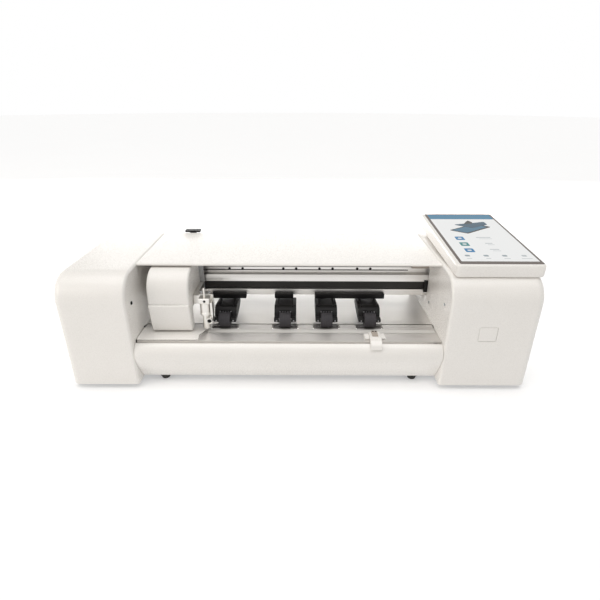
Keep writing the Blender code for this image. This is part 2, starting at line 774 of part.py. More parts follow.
def make_tool():
    """The slide that lowers the blade, the blade holder that it grips, and the screw that clamps it."""
    slide = add(
        "tool_slide",
        box_mesh((-0.1190, 0.0403, 0.0790), (-0.1020, 0.0430, 0.0993)),
        ALUMINIUM,
        (TOOL_X, TOOL_Y, TOOL_TIP_Z),
    )
    unite(slide, box_mesh((-0.1172, 0.0280, 0.0928), (-0.1045, 0.0410, 0.0993)))
    unite(slide, box_mesh((-0.1050, 0.0310, 0.0675), (-0.1020, 0.0386, 0.0960)))
    unite(slide, box_mesh((-0.1048, 0.0370, 0.0795), (-0.1024, 0.0415, 0.0955)))
    unite(slide, box_mesh((-0.1085, 0.0300, 0.0675), (-0.1022, 0.0386, 0.0755)))
    cut(slide, rod_mesh("Z", (TOOL_X, TOOL_Y), 0.0600, 0.0800, 0.0042))
    cut(slide, rod_mesh("Z", (TOOL_X, TOOL_Y), 0.0900, 0.1050, 0.0017, 16))
    cut(slide, rod_mesh("Y", (KNOB_X, KNOB_Z), 0.0290, 0.0330, 0.0016, 12))
    top = TOOL_TIP_Z
    holder = [
        (0.0, 0.1107 - top),
        (0.0013, 0.1107 - top),
        (0.0013, 0.0925 - top),
        (0.0049, 0.0925 - top),
        (0.0049, 0.0810 - top),
        (0.0060, 0.0806 - top),
        (0.0060, 0.0775 - top),
        (0.0055, 0.0769 - top),
        (0.0039, 0.0766 - top),
        (0.0039, 0.0600 - top),
        (0.0030, 0.0585 - top),
        (0.0012, 0.0575 - top),
        (0.0004, 0.0),
        (0.0, 0.0),
    ]
    turned("blade_holder", holder, "Z", (TOOL_X, TOOL_Y, TOOL_TIP_Z), ALUMINIUM, 20)
    knob = [
        (0.0, 0.0022),
        (0.0012, 0.0022),
        (0.0012, 0.0),
        (0.0036, 0.0),
        (0.0036, -0.0030),
        (0.0030, -0.0034),
        (0.0018, -0.0034),
        (0.0018, -0.0024),
        (0.0, -0.0024),
    ]
    turned("clamp_knob", knob, "Y", (KNOB_X, 0.0297, KNOB_Z), ALUMINIUM, 20)


def make_trimmer():
    """The sheet trimmer: a saddle that runs along the track behind the front cover."""
    saddle = [
        (0.0270, 0.0534),
        (0.0270, 0.0572),
        (0.0125, 0.0580),
        (0.0060, 0.0566),
        (0.0018, 0.0530),
        (0.0004, 0.0480),
        (0.0018, 0.0478),
        (0.0036, 0.0510),
        (0.0070, 0.0529),
        (0.0094, 0.0532),
        (0.0094, 0.0493),
        (0.0112, 0.0493),
        (0.0112, 0.0534),
    ]
    slider = add(
        "trimmer_slider",
        outline_mesh([saddle], "X", TRIMMER_X - 0.0065, TRIMMER_X + 0.0065),
        WHITE,
        (TRIMMER_X, 0.0103, PLATEN_Z),
    )
    unite(slider, box_mesh((TRIMMER_X - 0.012, 0.0150, 0.0536), (TRIMMER_X + 0.012, 0.0268, 0.0556)))


def make_electrics():
    """The main board, and the inlet and the rocker switch on the right casing's back."""
    board = box("main_board", (0.2580, 0.0400, 0.0150), (0.2596, 0.1500, 0.0950), BOARD)
    blocks = (
        (0.060, 0.030, 0.020, 0.014),
        (0.100, 0.060, 0.030, 0.018),
        (0.060, 0.070, 0.012, 0.012),
    )
    for low_y, low_z, size_y, size_z in blocks:
        unite(board, box_mesh((0.2545, low_y, low_z), (0.2590, low_y + size_y, low_z + size_z)))
    back = CASING_DEPTH
    jack = [
        (0.0, -0.0100),
        (0.0030, -0.0100),
        (0.0030, 0.0012),
        (0.0075, 0.0012),
        (0.0075, GAP),
        (INLET_R, 0.0002),
        (INLET_R, -0.0140),
        (0.0, -0.0140),
    ]
    turned("power_inlet", jack, "Y", (INLET_X, back + 0.0002, INLET_Z), BLACK, 20)
    half_w, half_h = ROCKER_HOUSE_W / 2, ROCKER_HOUSE_H / 2
    housing = box(
        "switch_housing",
        (ROCKER_X - half_w, 0.1650, ROCKER_Z - half_h),
        (ROCKER_X + half_w, back + 0.0006, ROCKER_Z + half_h),
        BLACK,
    )
    cut(
        housing,
        box_mesh(
            (ROCKER_X - half_w + 0.002, 0.1745, ROCKER_Z - half_h + 0.0015),
            (ROCKER_X + half_w - 0.002, back + 0.01, ROCKER_Z + half_h - 0.0015),
        ),
    )
    rocker = [
        (0.1770, -0.0048),
        (back + 0.0016, -0.0046),
        (back - 0.0002, 0.0),
        (back + 0.0016, 0.0046),
        (0.1770, 0.0048),
    ]
    pivot_y = 0.1805
    tilt = Matrix.Rotation(ROCKER_TILT, 2)
    leaning = []
    for y, z in rocker:
        y_off, z_off = tilt @ Vector((y - pivot_y, z))
        leaning.append((pivot_y + y_off, ROCKER_Z + z_off))
    add(
        "power_rocker",
        outline_mesh([leaning], "X", ROCKER_X - half_w + 0.0025, ROCKER_X + half_w - 0.0025),
        BLACK,
        (ROCKER_X, pivot_y, ROCKER_Z),
    )


def make_screen():
    """A tilted slab on a low plinth on the right casing, with the touch panel let into its top."""
    slope = math.tan(SCREEN_TILT)
    front_y, back_y = 0.0152, BACK_Y
    top_front = SCREEN_FRONT_Z + (front_y - SCREEN_FRONT_Y) * slope
    top_back = SCREEN_FRONT_Z + (back_y - SCREEN_FRONT_Y) * slope
    profile = [
        (front_y, 0.1318),
        (0.0240, 0.1351),
        (0.0340, 0.1357),
        (back_y, 0.1440),
        (back_y, top_back),
        (front_y, top_front),
    ]
    housing = add(
        "screen_housing", outline_mesh([profile], "X", 0.1708, WIDTH / 2), WHITE
    )
    bevel(housing, 0.0018, 3)
    unite(housing, box_mesh((0.1790, 0.0460, CASING_HEIGHT + 0.0004), (0.2640, 0.1740, 0.1460)))
    centre_y = SCREEN_FRONT_Y + SCREEN_L / 2 * math.cos(SCREEN_TILT)
    centre_z = SCREEN_FRONT_Z + SCREEN_L / 2 * math.sin(SCREEN_TILT)
    pocket = cut(
        housing,
        box_mesh(
            (-SCREEN_W / 2 - 0.0003, -SCREEN_L / 2 - 0.0003, -SCREEN_T - 0.0003),
            (SCREEN_W / 2 + 0.0003, SCREEN_L / 2 + 0.0003, 0.010),
        ),
    )
    panel = box(
        "touch_screen",
        (-SCREEN_W / 2, -SCREEN_L / 2, -SCREEN_T),
        (SCREEN_W / 2, SCREEN_L / 2, 0.0002),
        GLASS,
    )
    for obj in (pocket, panel):
        obj.location = (SCREEN_X, centre_y, centre_z)
        obj.rotation_euler = (SCREEN_TILT, 0.0, 0.0)


make_casings()
make_chassis()
make_covers()
make_platen()
make_beam()
make_belts()
make_drives()
make_feed_shaft()
make_pinch_units()
make_release_lever()
make_carriage()
make_tool()
make_trimmer()
make_electrics()
make_screen()
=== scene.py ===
# %% [markdown]
# # A desktop vinyl cutter
#
# The machine cuts shapes out of film. Two tall side casings hold a beam between them, a small carriage
# runs along the beam with a blade, and four rubber wheels press the film on a turning shaft.
#
# This file is the looks of the machine. The working solids are already packed, and they come in as a fixed
# frame of bodies: everything drawn here rides on one of those bodies, so it moves when the machine moves.

# %% Load the frame
import math

import bmesh
import bpy
from mathutils import Matrix, Vector


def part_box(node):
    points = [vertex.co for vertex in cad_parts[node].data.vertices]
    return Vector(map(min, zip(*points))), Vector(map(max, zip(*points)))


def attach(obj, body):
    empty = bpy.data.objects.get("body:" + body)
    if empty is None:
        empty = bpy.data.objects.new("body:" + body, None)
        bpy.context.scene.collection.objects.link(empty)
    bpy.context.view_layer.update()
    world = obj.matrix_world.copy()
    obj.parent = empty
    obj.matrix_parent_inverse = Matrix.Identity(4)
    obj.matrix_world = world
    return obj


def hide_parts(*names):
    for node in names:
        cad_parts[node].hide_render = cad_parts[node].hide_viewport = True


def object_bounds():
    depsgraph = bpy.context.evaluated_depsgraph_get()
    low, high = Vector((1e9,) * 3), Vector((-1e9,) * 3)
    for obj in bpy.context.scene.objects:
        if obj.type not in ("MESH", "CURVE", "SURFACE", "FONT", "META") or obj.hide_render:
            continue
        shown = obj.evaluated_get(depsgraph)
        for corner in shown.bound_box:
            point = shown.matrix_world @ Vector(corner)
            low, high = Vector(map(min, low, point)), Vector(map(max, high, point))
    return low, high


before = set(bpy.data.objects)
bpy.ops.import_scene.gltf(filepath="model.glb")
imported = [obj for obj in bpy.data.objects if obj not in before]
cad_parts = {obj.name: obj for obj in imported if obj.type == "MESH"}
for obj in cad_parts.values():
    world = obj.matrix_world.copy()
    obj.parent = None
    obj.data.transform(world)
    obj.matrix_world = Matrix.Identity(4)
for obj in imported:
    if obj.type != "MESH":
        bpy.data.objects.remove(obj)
cad_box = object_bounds()

# %% [markdown]
# ## One corner to measure from
#
# A maker measures this machine in millimetres from the lower front edge of the casings: x to the right,
# y back, z up. The frame is in metres, with its origin on the floor in the middle. One matrix joins the two,
# so every size below can be a plain number of millimetres.

# %% Millimetres from the casings' lower front edge
casing_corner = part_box("left_casing")[0]
TO_FRAME = Matrix.Translation((0.0, casing_corner.y, casing_corner.z)) @ Matrix.Scale(0.001, 4)
TO_MM = TO_FRAME.inverted()


def cad(node_name):
    """The lowest and highest corner of a working solid, in the maker's millimetres."""
    low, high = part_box(node_name)
    return TO_MM @ low, TO_MM @ high


left_low, left_high = cad("left_casing")
right_low, right_high = cad("right_casing")
print(f"{right_high.x - left_low.x:.1f} mm wide, bay {left_high.x:.1f} to {right_low.x:.1f} mm")

# %% [markdown]
# ## Colours and nodes
#
# Colours are easiest to read as the hex values of a paint chart. Those are sRGB, and Blender's shaders want
# linear light, so one function turns one into the other. A second one adds a node, with its settings and its
# links, and that is all the node code that the finishes need.


# %% Two helpers for finishes
def linear(hex_colour):
    """An sRGB hex colour as the linear red, green, blue and alpha that a shader takes."""
    channels = [int(hex_colour[i : i + 2], 16) / 255 for i in (1, 3, 5)]
    return (*[c / 12.92 if c < 0.04045 else ((c + 0.055) / 1.055) ** 2.4 for c in channels], 1.0)


def node(tree, kind, links=(), **settings):
    """Adds a node. Each link is (input, value): a number, a colour or another node's output."""
    made = tree.nodes.new("ShaderNode" + kind)
    for name, value in settings.items():
        setattr(made, name, value)
    for socket, value in links:
        if isinstance(value, bpy.types.NodeSocket):
            tree.links.new(value, made.inputs[socket])
        else:
            made.inputs[socket].default_value = value
    return made


def new_finish(name, slot, **values):
    """A material with one Principled shader, with values for the sockets named. slot is the record's."""
    made = bpy.data.materials.new(name)
    made.use_nodes = True
    made["slot"] = slot
    shader = made.node_tree.nodes["Principled BSDF"]
    for socket, value in values.items():
        shader.inputs[socket.replace("_", " ")].default_value = value
    return made, made.node_tree, shader


def blend_colours(tree, factor, first, second):
    """Two hex colours mixed by a pattern, ready for Base Color."""
    # Inputs 6 and 7 are the node's two colours.
    colours = [(0, factor), (6, linear(first)), (7, linear(second))]
    return node(tree, "Mix", colours, data_type="RGBA").outputs[2]


print("white in linear light:", [round(c, 3) for c in linear("#efece6")])

# %% [markdown]
# ## Patterns with real sizes
#
# A noise texture repeats about once per unit at scale 1, so on metres a grain of 0.5 mm needs a scale of
# 1 / 0.0005. Stretching the coordinates along one direction turns the same noise into the drawn lines of an
# extrusion or a grinding wheel. Object coordinates are used, because every piece is drawn in the frame's own
# metres: the pattern then has its true size on each piece and stays on it when it moves.


# %% Noise by its size in millimetres
def grain(tree, size, stretch=(1.0, 1.0, 1.0), detail=2.0):
    """Noise whose lumps are about size mm across, drawn out by stretch in each direction."""
    place = node(tree, "TexCoord").outputs["Object"]
    spread = node(tree, "Mapping", [("Vector", place), ("Scale", [1.0 / s for s in stretch])])
    noise = node(
        tree,
        "TexNoise",
        [("Vector", spread.outputs["Vector"]), ("Scale", 1000.0 / size), ("Detail", detail)],
    )
    return noise.outputs["Fac"]


def spread_between(tree, pattern, low, high):
    """A pattern's middle range spread from low to high."""
    spread = node(tree, "MapRange", [("Value", pattern), (1, 0.3), (2, 0.7), (3, low), (4, high)])
    return spread.outputs["Result"]


def bump(tree, pattern, depth, strength=1.0):
    """A normal from a height pattern. depth is the height from low to high, in millimetres."""
    raised = node(tree, "Bump", [("Height", pattern), ("Distance", depth / 1000), ("Strength", strength)])
    return raised.outputs["Normal"]


def wire(tree, shader, **sockets):
    """Links patterns into the shader's sockets."""
    for socket, source in sockets.items():
        tree.links.new(source, shader.inputs[socket.replace("_", " ")])


# %% [markdown]
# ## White ABS
#
# The casings, covers and carriage are moulded from white ABS in a polished tool. What the eye sees is a warm
# white with a soft, slightly wavy gloss: the plastic shrinks unevenly as it cools, so a reflection swims a
# little. That wave is a bump 6 mm wide and a few micrometres deep, and a faint drift in tone goes with it.
# ABS has an IOR of about 1.53.

# %% Finish: gloss white ABS
white_abs, tree, shader = new_finish("gloss_white_abs", "gloss_white_abs", IOR=1.53)
sink = grain(tree, 6.0)
fine = grain(tree, 0.7)
wire(
    tree,
    shader,
    Base_Color=blend_colours(tree, grain(tree, 45.0), "#ebe8e3", "#f1eeea"),
    Roughness=spread_between(tree, fine, 0.24, 0.32),
    Normal=bump(tree, sink, 0.02),
)
print(white_abs.name, len(tree.nodes), "nodes")

# %% [markdown]
# ## Anodised aluminium
#
# The beam and the platen are pushed hot through a die, which draws fine lines along their whole length, then
# etched and anodised clear. The eye gets a pale grey metal that is smooth across and streaked along x. The
# streaks are noise 0.4 mm wide, drawn out a few hundred times, wide enough to just show. Small turned and
# milled parts are the same metal with a finer, even grain.


# %% Finish: anodised aluminium, extruded and machined
def anodised(name, stretch, size, dark, light, roughness):
    made, tree, shader = new_finish(name, "anodised_aluminium", Metallic=1.0)
    lines = grain(tree, size, stretch, 3.0)
    wire(
        tree,
        shader,
        Base_Color=blend_colours(tree, lines, dark, light),
        Roughness=spread_between(tree, lines, *roughness),
        Normal=bump(tree, lines, 0.006),
    )
    print(made.name, len(tree.nodes), "nodes")
    return made


EXTRUDED = (300.0, 1.0, 1.0)
extruded_aluminium = anodised("extruded_aluminium", EXTRUDED, 0.4, "#e2e0dd", "#f0eeec", (0.26, 0.38))
platen_aluminium = anodised("platen_aluminium", EXTRUDED, 0.4, "#dcd9d6", "#ebe9e6", (0.42, 0.55))
sheet_aluminium = anodised("sheet_aluminium", (60.0, 1.0, 1.0), 0.8, "#e2e0dd", "#f0eeeb", (0.3, 0.4))
machined_aluminium = anodised("machined_aluminium", (1.0, 1.0, 1.0), 0.25, "#dedbd6", "#eae8e4", (0.24, 0.36))

# %% [markdown]
# ## Steel, three ways
#
# The rail and the shaft are ground: bright, with hair lines left by the wheel. Where a pinch wheel presses,
# the shaft has a sleeve of hard grit that bites the film, grey and dull like emery cloth. The folded sheets
# inside are zinc plated, which shows as a cool grey with faint patches a few millimetres across.

# %% Finishes: ground, grit coated and zinc plated steel
ground_steel, tree, shader = new_finish("ground_steel", "ground_steel", Metallic=1.0)
lines = grain(tree, 0.3, (150.0, 1.0, 1.0), 3.0)
wire(
    tree,
    shader,
    Base_Color=blend_colours(tree, lines, "#d9d7d4", "#ebe9e7"),
    Roughness=spread_between(tree, lines, 0.16, 0.26),
    Normal=bump(tree, lines, 0.003),
)

grit_steel, tree, shader = new_finish("grit_coated_steel", "ground_steel", Metallic=1.0)
grit = grain(tree, 0.35, detail=4.0)
wire(
    tree,
    shader,
    Base_Color=blend_colours(tree, grit, "#4c4a49", "#8c8987"),
    Roughness=spread_between(tree, grit, 0.5, 0.75),
    Normal=bump(tree, grit, 0.08),
)

zinc_steel, tree, shader = new_finish("zinc_plated_steel", "zinc_plated_steel", Metallic=1.0)
patches = node(tree, "TexVoronoi", [("Vector", node(tree, "TexCoord").outputs["Object"]), ("Scale", 250.0)])
wire(
    tree,
    shader,
    Base_Color=blend_colours(tree, patches.outputs["Color"], "#a9abad", "#bdbec0"),
    Roughness=spread_between(tree, grain(tree, 3.0), 0.34, 0.46),
    Normal=bump(tree, grain(tree, 0.5), 0.004),
)
print("steels:", ground_steel.name, grit_steel.name, zinc_steel.name)

# %% [markdown]
# ## Black plastic and rubber
#
# The pinch arms are moulded in black nylon from a spark-eroded tool, which leaves an even, fine matt grain.
# The pinch wheels are rubber: a softer, browner grey with almost no gloss. The belts and the feet are of a
# denser, blacker rubber. The real grain is about 0.1 mm, too fine to show at arm's length, so it is drawn at
# 0.4 mm.

# %% Finishes: black nylon, wheel rubber, belt rubber
black_nylon, tree, shader = new_finish(
    "black_moulded_nylon", "black_plastic", IOR=1.53, Specular_IOR_Level=0.3
)
erosion = grain(tree, 0.4, detail=3.0)
wire(
    tree,
    shader,
    Base_Color=blend_colours(tree, erosion, "#080708", "#100e0f"),
    Roughness=spread_between(tree, erosion, 0.42, 0.6),
    Normal=bump(tree, erosion, 0.02),
)

black_rubber, tree, shader = new_finish("black_rubber", "black_rubber", IOR=1.52)
wear = grain(tree, 5.0)
wire(
    tree,
    shader,
    Base_Color=blend_colours(tree, wear, "#2c2a2e", "#383539"),
    Roughness=spread_between(tree, grain(tree, 0.6), 0.62, 0.82),
    Normal=bump(tree, grain(tree, 0.4), 0.03),
)

belt_rubber, tree, shader = new_finish("belt_rubber", "black_rubber", IOR=1.5)
cords = grain(tree, 0.6, (80.0, 1.0, 1.0))
wire(
    tree,
    shader,
    Base_Color=blend_colours(tree, cords, "#1c1a18", "#292623"),
    Roughness=spread_between(tree, cords, 0.5, 0.65),
    Normal=bump(tree, cords, 0.02),
)
print("blacks:", black_nylon.name, black_rubber.name, belt_rubber.name)

# %% [markdown]
# ## The small finishes
#
# The end stop is a block of natural acetal, beige and waxy. The cutting strip is a soft white plastic tape
# that the blade may touch, so it carries short fine cuts along the beam's direction. The main board is green
# solder mask over copper. The screen's front is one sheet of glass, printed dark brown at its border.

# %% Finishes: acetal, cutting strip, solder mask, cover glass
acetal, tree, shader = new_finish("natural_acetal", "beige_plastic", IOR=1.48)
wire(
    tree,
    shader,
    Base_Color=blend_colours(tree, grain(tree, 4.0), "#a89d92", "#b9afa5"),
    Roughness=spread_between(tree, grain(tree, 0.8), 0.38, 0.5),
    Normal=bump(tree, grain(tree, 0.5), 0.01),
)

strip_tape, tree, shader = new_finish("cutting_strip_tape", "cutting_mat_strip", IOR=1.45)
cuts = grain(tree, 0.5, (60.0, 1.0, 1.0), 4.0)
wire(
    tree,
    shader,
    Base_Color=blend_colours(tree, cuts, "#c9c6c1", "#dcdad6"),
    Roughness=spread_between(tree, cuts, 0.45, 0.65),
    Normal=bump(tree, cuts, 0.02),
)

solder_mask, tree, shader = new_finish("green_solder_mask", "circuit_board", IOR=1.5)
tracks = node(tree, "TexBrick", [("Vector", node(tree, "TexCoord").outputs["Object"]), ("Scale", 180.0)])
wire(
    tree,
    shader,
    Base_Color=blend_colours(tree, tracks.outputs["Fac"], "#1d5a34", "#2f7a49"),
    Roughness=spread_between(tree, grain(tree, 2.0), 0.3, 0.45),
)

cover_glass, tree, shader = new_finish("cover_glass", "screen_glass", IOR=1.5)
wire(
    tree,
    shader,
    Base_Color=blend_colours(tree, grain(tree, 12.0), "#574c48", "#625853"),
    Roughness=spread_between(tree, grain(tree, 20.0), 0.1, 0.16),
)
print("small finishes:", acetal.name, strip_tape.name, solder_mask.name, cover_glass.name)

# %% [markdown]
# ## From outlines to solids
#
# Most parts of this machine are one of three things: a length of one outline (an extrusion or a moulded
# wall), a turned part, or a skin through several rings. One function joins a row of rings into a skin, and
# the other two kinds are rings placed by a rule. An outline's corners are rounded first, because no moulded
# or extruded corner is sharp, and the light on a small radius is what tells the eye how big a part is.

# %% Mesh helpers
ALONG = {
    "X": lambda a, b, c: (c, a, b),
    "Y": lambda a, b, c: (a, c, b),
    "Z": lambda a, b, c: (a, b, c),
}


def arc(centre, radius, start, end, steps):
    """Points on a circle, in degrees from the first direction towards the second."""
    turns = [math.radians(start + (end - start) * step / steps) for step in range(steps + 1)]
    return [(centre[0] + radius * math.cos(t), centre[1] + radius * math.sin(t)) for t in turns]


def rounded(corners, radius, steps=4):
    """An outline with its corners rounded. A corner may carry its own radius as a third number."""
    points = []
    for before, here, after in zip([corners[-1], *corners], corners, [*corners[1:], corners[0]]):
        corner = Vector(here[:2])
        back, on = Vector(before[:2]) - corner, Vector(after[:2]) - corner
        own = here[2] if len(here) > 2 else radius
        reach = min(own / math.tan(back.angle(on) / 2), 0.49 * back.length, 0.49 * on.length)
        if reach < 0.01:
            points.append(tuple(corner))
            continue
        start, end = corner + back.normalized() * reach, corner + on.normalized() * reach
        for step in range(steps + 1):
            t = step / steps
            points.append(tuple(start * (1 - t) ** 2 + corner * 2 * t * (1 - t) + end * t * t))
    return points


def skin(rings, closed=True, capped=True):
    """Faces between rings of points, one after the other, with a face on each end."""
    work = bmesh.new()
    rows = [[work.verts.new(point) for point in ring] for ring in rings]
    count = len(rows[0])
    for row, following in zip(rows, rows[1:]):
        for i in range(count if closed else count - 1):
            j = (i + 1) % count
            work.faces.new((row[i], row[j], following[j], following[i]))
    if capped:
        work.faces.new(rows[0])
        work.faces.new(rows[-1])
    bmesh.ops.remove_doubles(work, verts=work.verts, dist=0.0005)
    bmesh.ops.recalc_face_normals(work, faces=work.faces)
    return work


def bar(outline, axis, low, high, rim=0.0, steps=3):
    """A length of one outline along an axis, with both ends' edges rounded by rim."""
    work = skin([[ALONG[axis](a, b, end) for a, b in outline] for end in (low, high)])
    if rim:
        edges = {edge for face in work.faces if len(face.verts) == len(outline) for edge in face.edges}
        how = {"segments": steps, "profile": 0.5, "affect": "EDGES", "clamp_overlap": True}
        bmesh.ops.bevel(work, geom=list(edges), offset=rim, **how)
    return work


def block(low, high, radius, rim=None):
    """A block with rounded edges, between two opposite corners."""
    outline = [(low[1], low[2]), (high[1], low[2]), (high[1], high[2]), (low[1], high[2])]
    return bar(rounded(outline, radius, 3), "X", low[0], high[0], radius if rim is None else rim)


def turned(profile, axis, centre, steps=48, knurl=None):
    """A turned part. Its profile is (radius, place along the axis). knurl is (low, high, ridges, depth)."""
    rings = []
    for step in range(steps + 1):
        turn = math.tau * step / steps
        ring = []
        for radius, along in profile:
            if knurl and knurl[0] <= along <= knurl[1]:
                radius -= knurl[3] * (0.5 - 0.5 * math.cos(turn * knurl[2]))
            a, b = centre[0] + radius * math.cos(turn), centre[1] + radius * math.sin(turn)
            ring.append(ALONG[axis](a, b, along))
        rings.append(ring)
    return skin(rings, closed=profile[0][0] > 0.0, capped=False)


def together(works):
    """Several separate bodies as one mesh."""
    whole = bmesh.new()
    for work in works:
        part = bpy.data.meshes.new("part")
        work.to_mesh(part)
        work.free()
        whole.from_mesh(part)
        bpy.data.meshes.remove(part)
    return whole


def crease(made, bend=38.0):
    """Marks edges sharper than bend degrees. Large flat faces keep their direction beside small rounds."""
    made.data.set_sharp_from_angle(angle=math.radians(bend))
    even = made.modifiers.new("even", "WEIGHTED_NORMAL")
    even.keep_sharp = True
    even.weight = 100


def piece(name, work, finish, body="frame", stands_for=(), bend=38.0):
    """Names mesh work in millimetres as a piece, places it in the frame and lets it ride on a body."""
    mesh = bpy.data.meshes.new(name)
    work.to_mesh(mesh)
    work.free()
    mesh.transform(TO_FRAME)
    mesh.materials.append(finish)
    mesh.shade_smooth()
    made = bpy.data.objects.new(name, mesh)
    crease(made, bend)
    bpy.context.scene.collection.objects.link(made)
    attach(made, body)
    if stands_for:
        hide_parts(*stands_for)
    print(f"{name}: {len(mesh.polygons)} faces on {body}")
    return made


def settle(made):
    """Fixes a piece's modifiers into its mesh, and creases the new edges."""
    made.modifiers.remove(made.modifiers["even"])
    bpy.context.view_layer.update()
    shape = bpy.data.meshes.new_from_object(made.evaluated_get(bpy.context.evaluated_depsgraph_get()))
    made.modifiers.clear()
    made.data = shape
    crease(made)
    return made


def carve(made, work):
    """Cuts mesh work in millimetres out of a piece."""
    mesh = bpy.data.meshes.new("cutter")
    bmesh.ops.recalc_face_normals(work, faces=work.faces)
    work.to_mesh(mesh)
    work.free()
    mesh.transform(TO_FRAME)
    cutter = bpy.data.objects.new("cutter", mesh)
    bpy.context.scene.collection.objects.link(cutter)
    made.modifiers.new("cut", "BOOLEAN").object = cutter
    settle(made)
    bpy.data.objects.remove(cutter)
    return made


def thicken(made, thickness):
    """Gives an open skin a wall, inwards."""
    wall = made.modifiers.new("wall", "SOLIDIFY")
    wall.thickness = thickness / 1000
    wall.offset = -1.0
    wall.use_even_offset = True
    return settle(made)


print("a 10 mm block has", len(block((0, 0, 0), (10, 10, 10), 1.0).faces), "faces")

# %% [markdown]
# ## The casings
#
# Each casing is a moulded box, open below. Seen from the side, its outline has a large round at the top front
# and a small one at the back, and the whole outline is rolled over by 9.5 mm on the outer side and 3.3 mm on
# the inner one. A bevel modifier could round those rims, but where two rounds meet it makes poor corners.
# Here the roll is made of rings instead: each ring is the same outline drawn a little smaller and a little
# further out, which is just how a ball-nosed cutter walks round such a mould.

# %% Casing rings
FRONT_ROUND = 30.7
BACK_ROUND = 9.0
OUTER_RIM = 9.5
INNER_RIM = 3.3
CASING_WALL = 2.5


def casing_ring(x, inset):
    """The casing's side outline at x, drawn inset, from the lower front edge to the lower back one."""
    top, back = left_high.z - inset, left_high.y - inset
    front_round = FRONT_ROUND - inset
    back_round = max(BACK_ROUND - inset, 0.3)
    path = [(inset, 0.0)]
    path += arc((inset + front_round, top - front_round), front_round, 180, 90, 24)
    path += arc((back - back_round, top - back_round), back_round, 90, 0, 10)
    path += [(back, 0.0)]
    return [(x, y, z) for y, z in path]


def rolled_rim(end_x, inwards, radius, steps=8):
    """Rings from the flat end at end_x round a rim of that radius. inwards is +1 or -1 along x."""
    turns = [math.pi / 2 * step / steps for step in range(steps + 1)]
    return [
        casing_ring(end_x + inwards * radius * (1 - math.cos(t)), radius * (1 - math.sin(t))) for t in turns
    ]


def casing(name, outer_x, inner_x, node_name):
    """One shell with a flat end wall on each side, rolled rims and an open underside."""
    inwards = 1 if inner_x > outer_x else -1
    rings = rolled_rim(outer_x, inwards, OUTER_RIM) + rolled_rim(inner_x, -inwards, INNER_RIM)[::-1]
    shell = thicken(piece(name, skin(rings, closed=False), white_abs, stands_for=[node_name]), CASING_WALL)
    print(f"{name}: wall {CASING_WALL} mm, {len(shell.data.vertices)} points")
    return shell


# %% [markdown]
# The inner walls let three things through: the beam, the feed shaft and the shaft that lifts the pinch arms.
# The right casing also has a shallow square recess for a small plate in front, and openings for the switch
# and the power inlet behind. The openings are cut by solids a few tenths of a millimetre larger than the CAD
# parts that pass through them, so each gap keeps its thin dark line.

# %% Cut the casings
beam_low, beam_high = cad("beam")
shaft_low, shaft_high = cad("drive_shaft")
tray_low = cad("base_plate")[0]
SHAFT_YZ = ((shaft_low.y + shaft_high.y) / 2, (shaft_low.z + shaft_high.z) / 2)
LIFT_YZ = (149.0, 82.0)
CLEAR = 0.6


def inner_openings(x):
    """What passes through the inner wall at x, a little oversize."""
    reach = CASING_WALL + 3.0
    return [
        block(
            (x - reach, beam_low.y - CLEAR, beam_low.z - CLEAR),
            (x + reach, beam_high.y + CLEAR, beam_high.z + CLEAR),
            0.5,
        ),
        bar(arc(SHAFT_YZ, 7.2, 0, 345, 23), "X", x - reach, x + reach),
        bar(arc(LIFT_YZ, 4.7, 0, 337.5, 15), "X", x - reach, x + reach),
        block((x - reach, 19.5, -2.0), (x + reach, 178.6, tray_low.z + 2.4), 0.3),
    ]


left_casing = casing("left_casing_shell", left_low.x, left_high.x, "left_casing")
carve(left_casing, together(inner_openings(left_high.x)))


def front_outline(low, high, grow, radius):
    """The rounded rectangle round a part as seen from the front, grown on all sides."""
    corners = [(low.x, low.z), (high.x, low.z), (high.x, high.z), (low.x, high.z)]
    signs = [(-1, -1), (1, -1), (1, 1), (-1, 1)]
    return rounded([(x + grow * a, z + grow * b) for (x, z), (a, b) in zip(corners, signs)], radius)


right_casing = casing("right_casing_shell", right_high.x, right_low.x, "right_casing")
plate_low, plate_high = cad("card_plate")
switch_low, switch_high = cad("switch_housing")
inlet_low, inlet_high = cad("power_inlet")
outlines = inner_openings(right_low.x)
outlines.append(bar(front_outline(plate_low, plate_high, 0.4, 2.0), "Y", -2.0, 0.9))
outlines.append(bar(front_outline(switch_low, switch_high, 0.4, 0.8), "Y", 175.0, 190.0))
INLET_XZ = ((inlet_low.x + inlet_high.x) / 2, (inlet_low.z + inlet_high.z) / 2)
outlines.append(bar(arc(INLET_XZ, 6.3, 0, 345, 23), "Y", 175.0, 190.0))
carve(right_casing, together(outlines))

plate = bar(front_outline(plate_low, plate_high, 0.0, 1.6), "Y", plate_low.y, plate_high.y, 0.15)
piece("card_reader_plate", plate, white_abs, stands_for=["card_plate"])

# %% [markdown]
# ## The covers
#
# Two long mouldings close the machine between the casings. The front one is a round nose over a tapering
# underside: the round is part of an ellipse and the taper a power curve, which keeps the two tangent to each
# other. The top one is nearly flat and turns down over the back. Both are skins pulled along x and given a
# wall, like the moulded channels that they are.

# %% Front, top and rear covers
nose_low, nose_high = cad("front_cover")
NOSE_WIDEST_Z = 37.5
LIP = (20.4, 1.6)


def nose_path(steps):
    """The front cover's outline, from its lower lip up the front to its top edge."""
    taper = []
    for step in range(steps):
        drop = 1.0 - step / steps
        taper.append((nose_low.y + 17.4 * drop**1.4, NOSE_WIDEST_Z - 35.7 * drop))
    crown = []
    for step in range(steps + 1):
        turn = math.radians(180 - 77 * step / steps)
        crown.append((11.0 + 11.4 * math.cos(turn), NOSE_WIDEST_Z + 14.5 * math.sin(turn)))
    return [LIP, *taper, *crown]


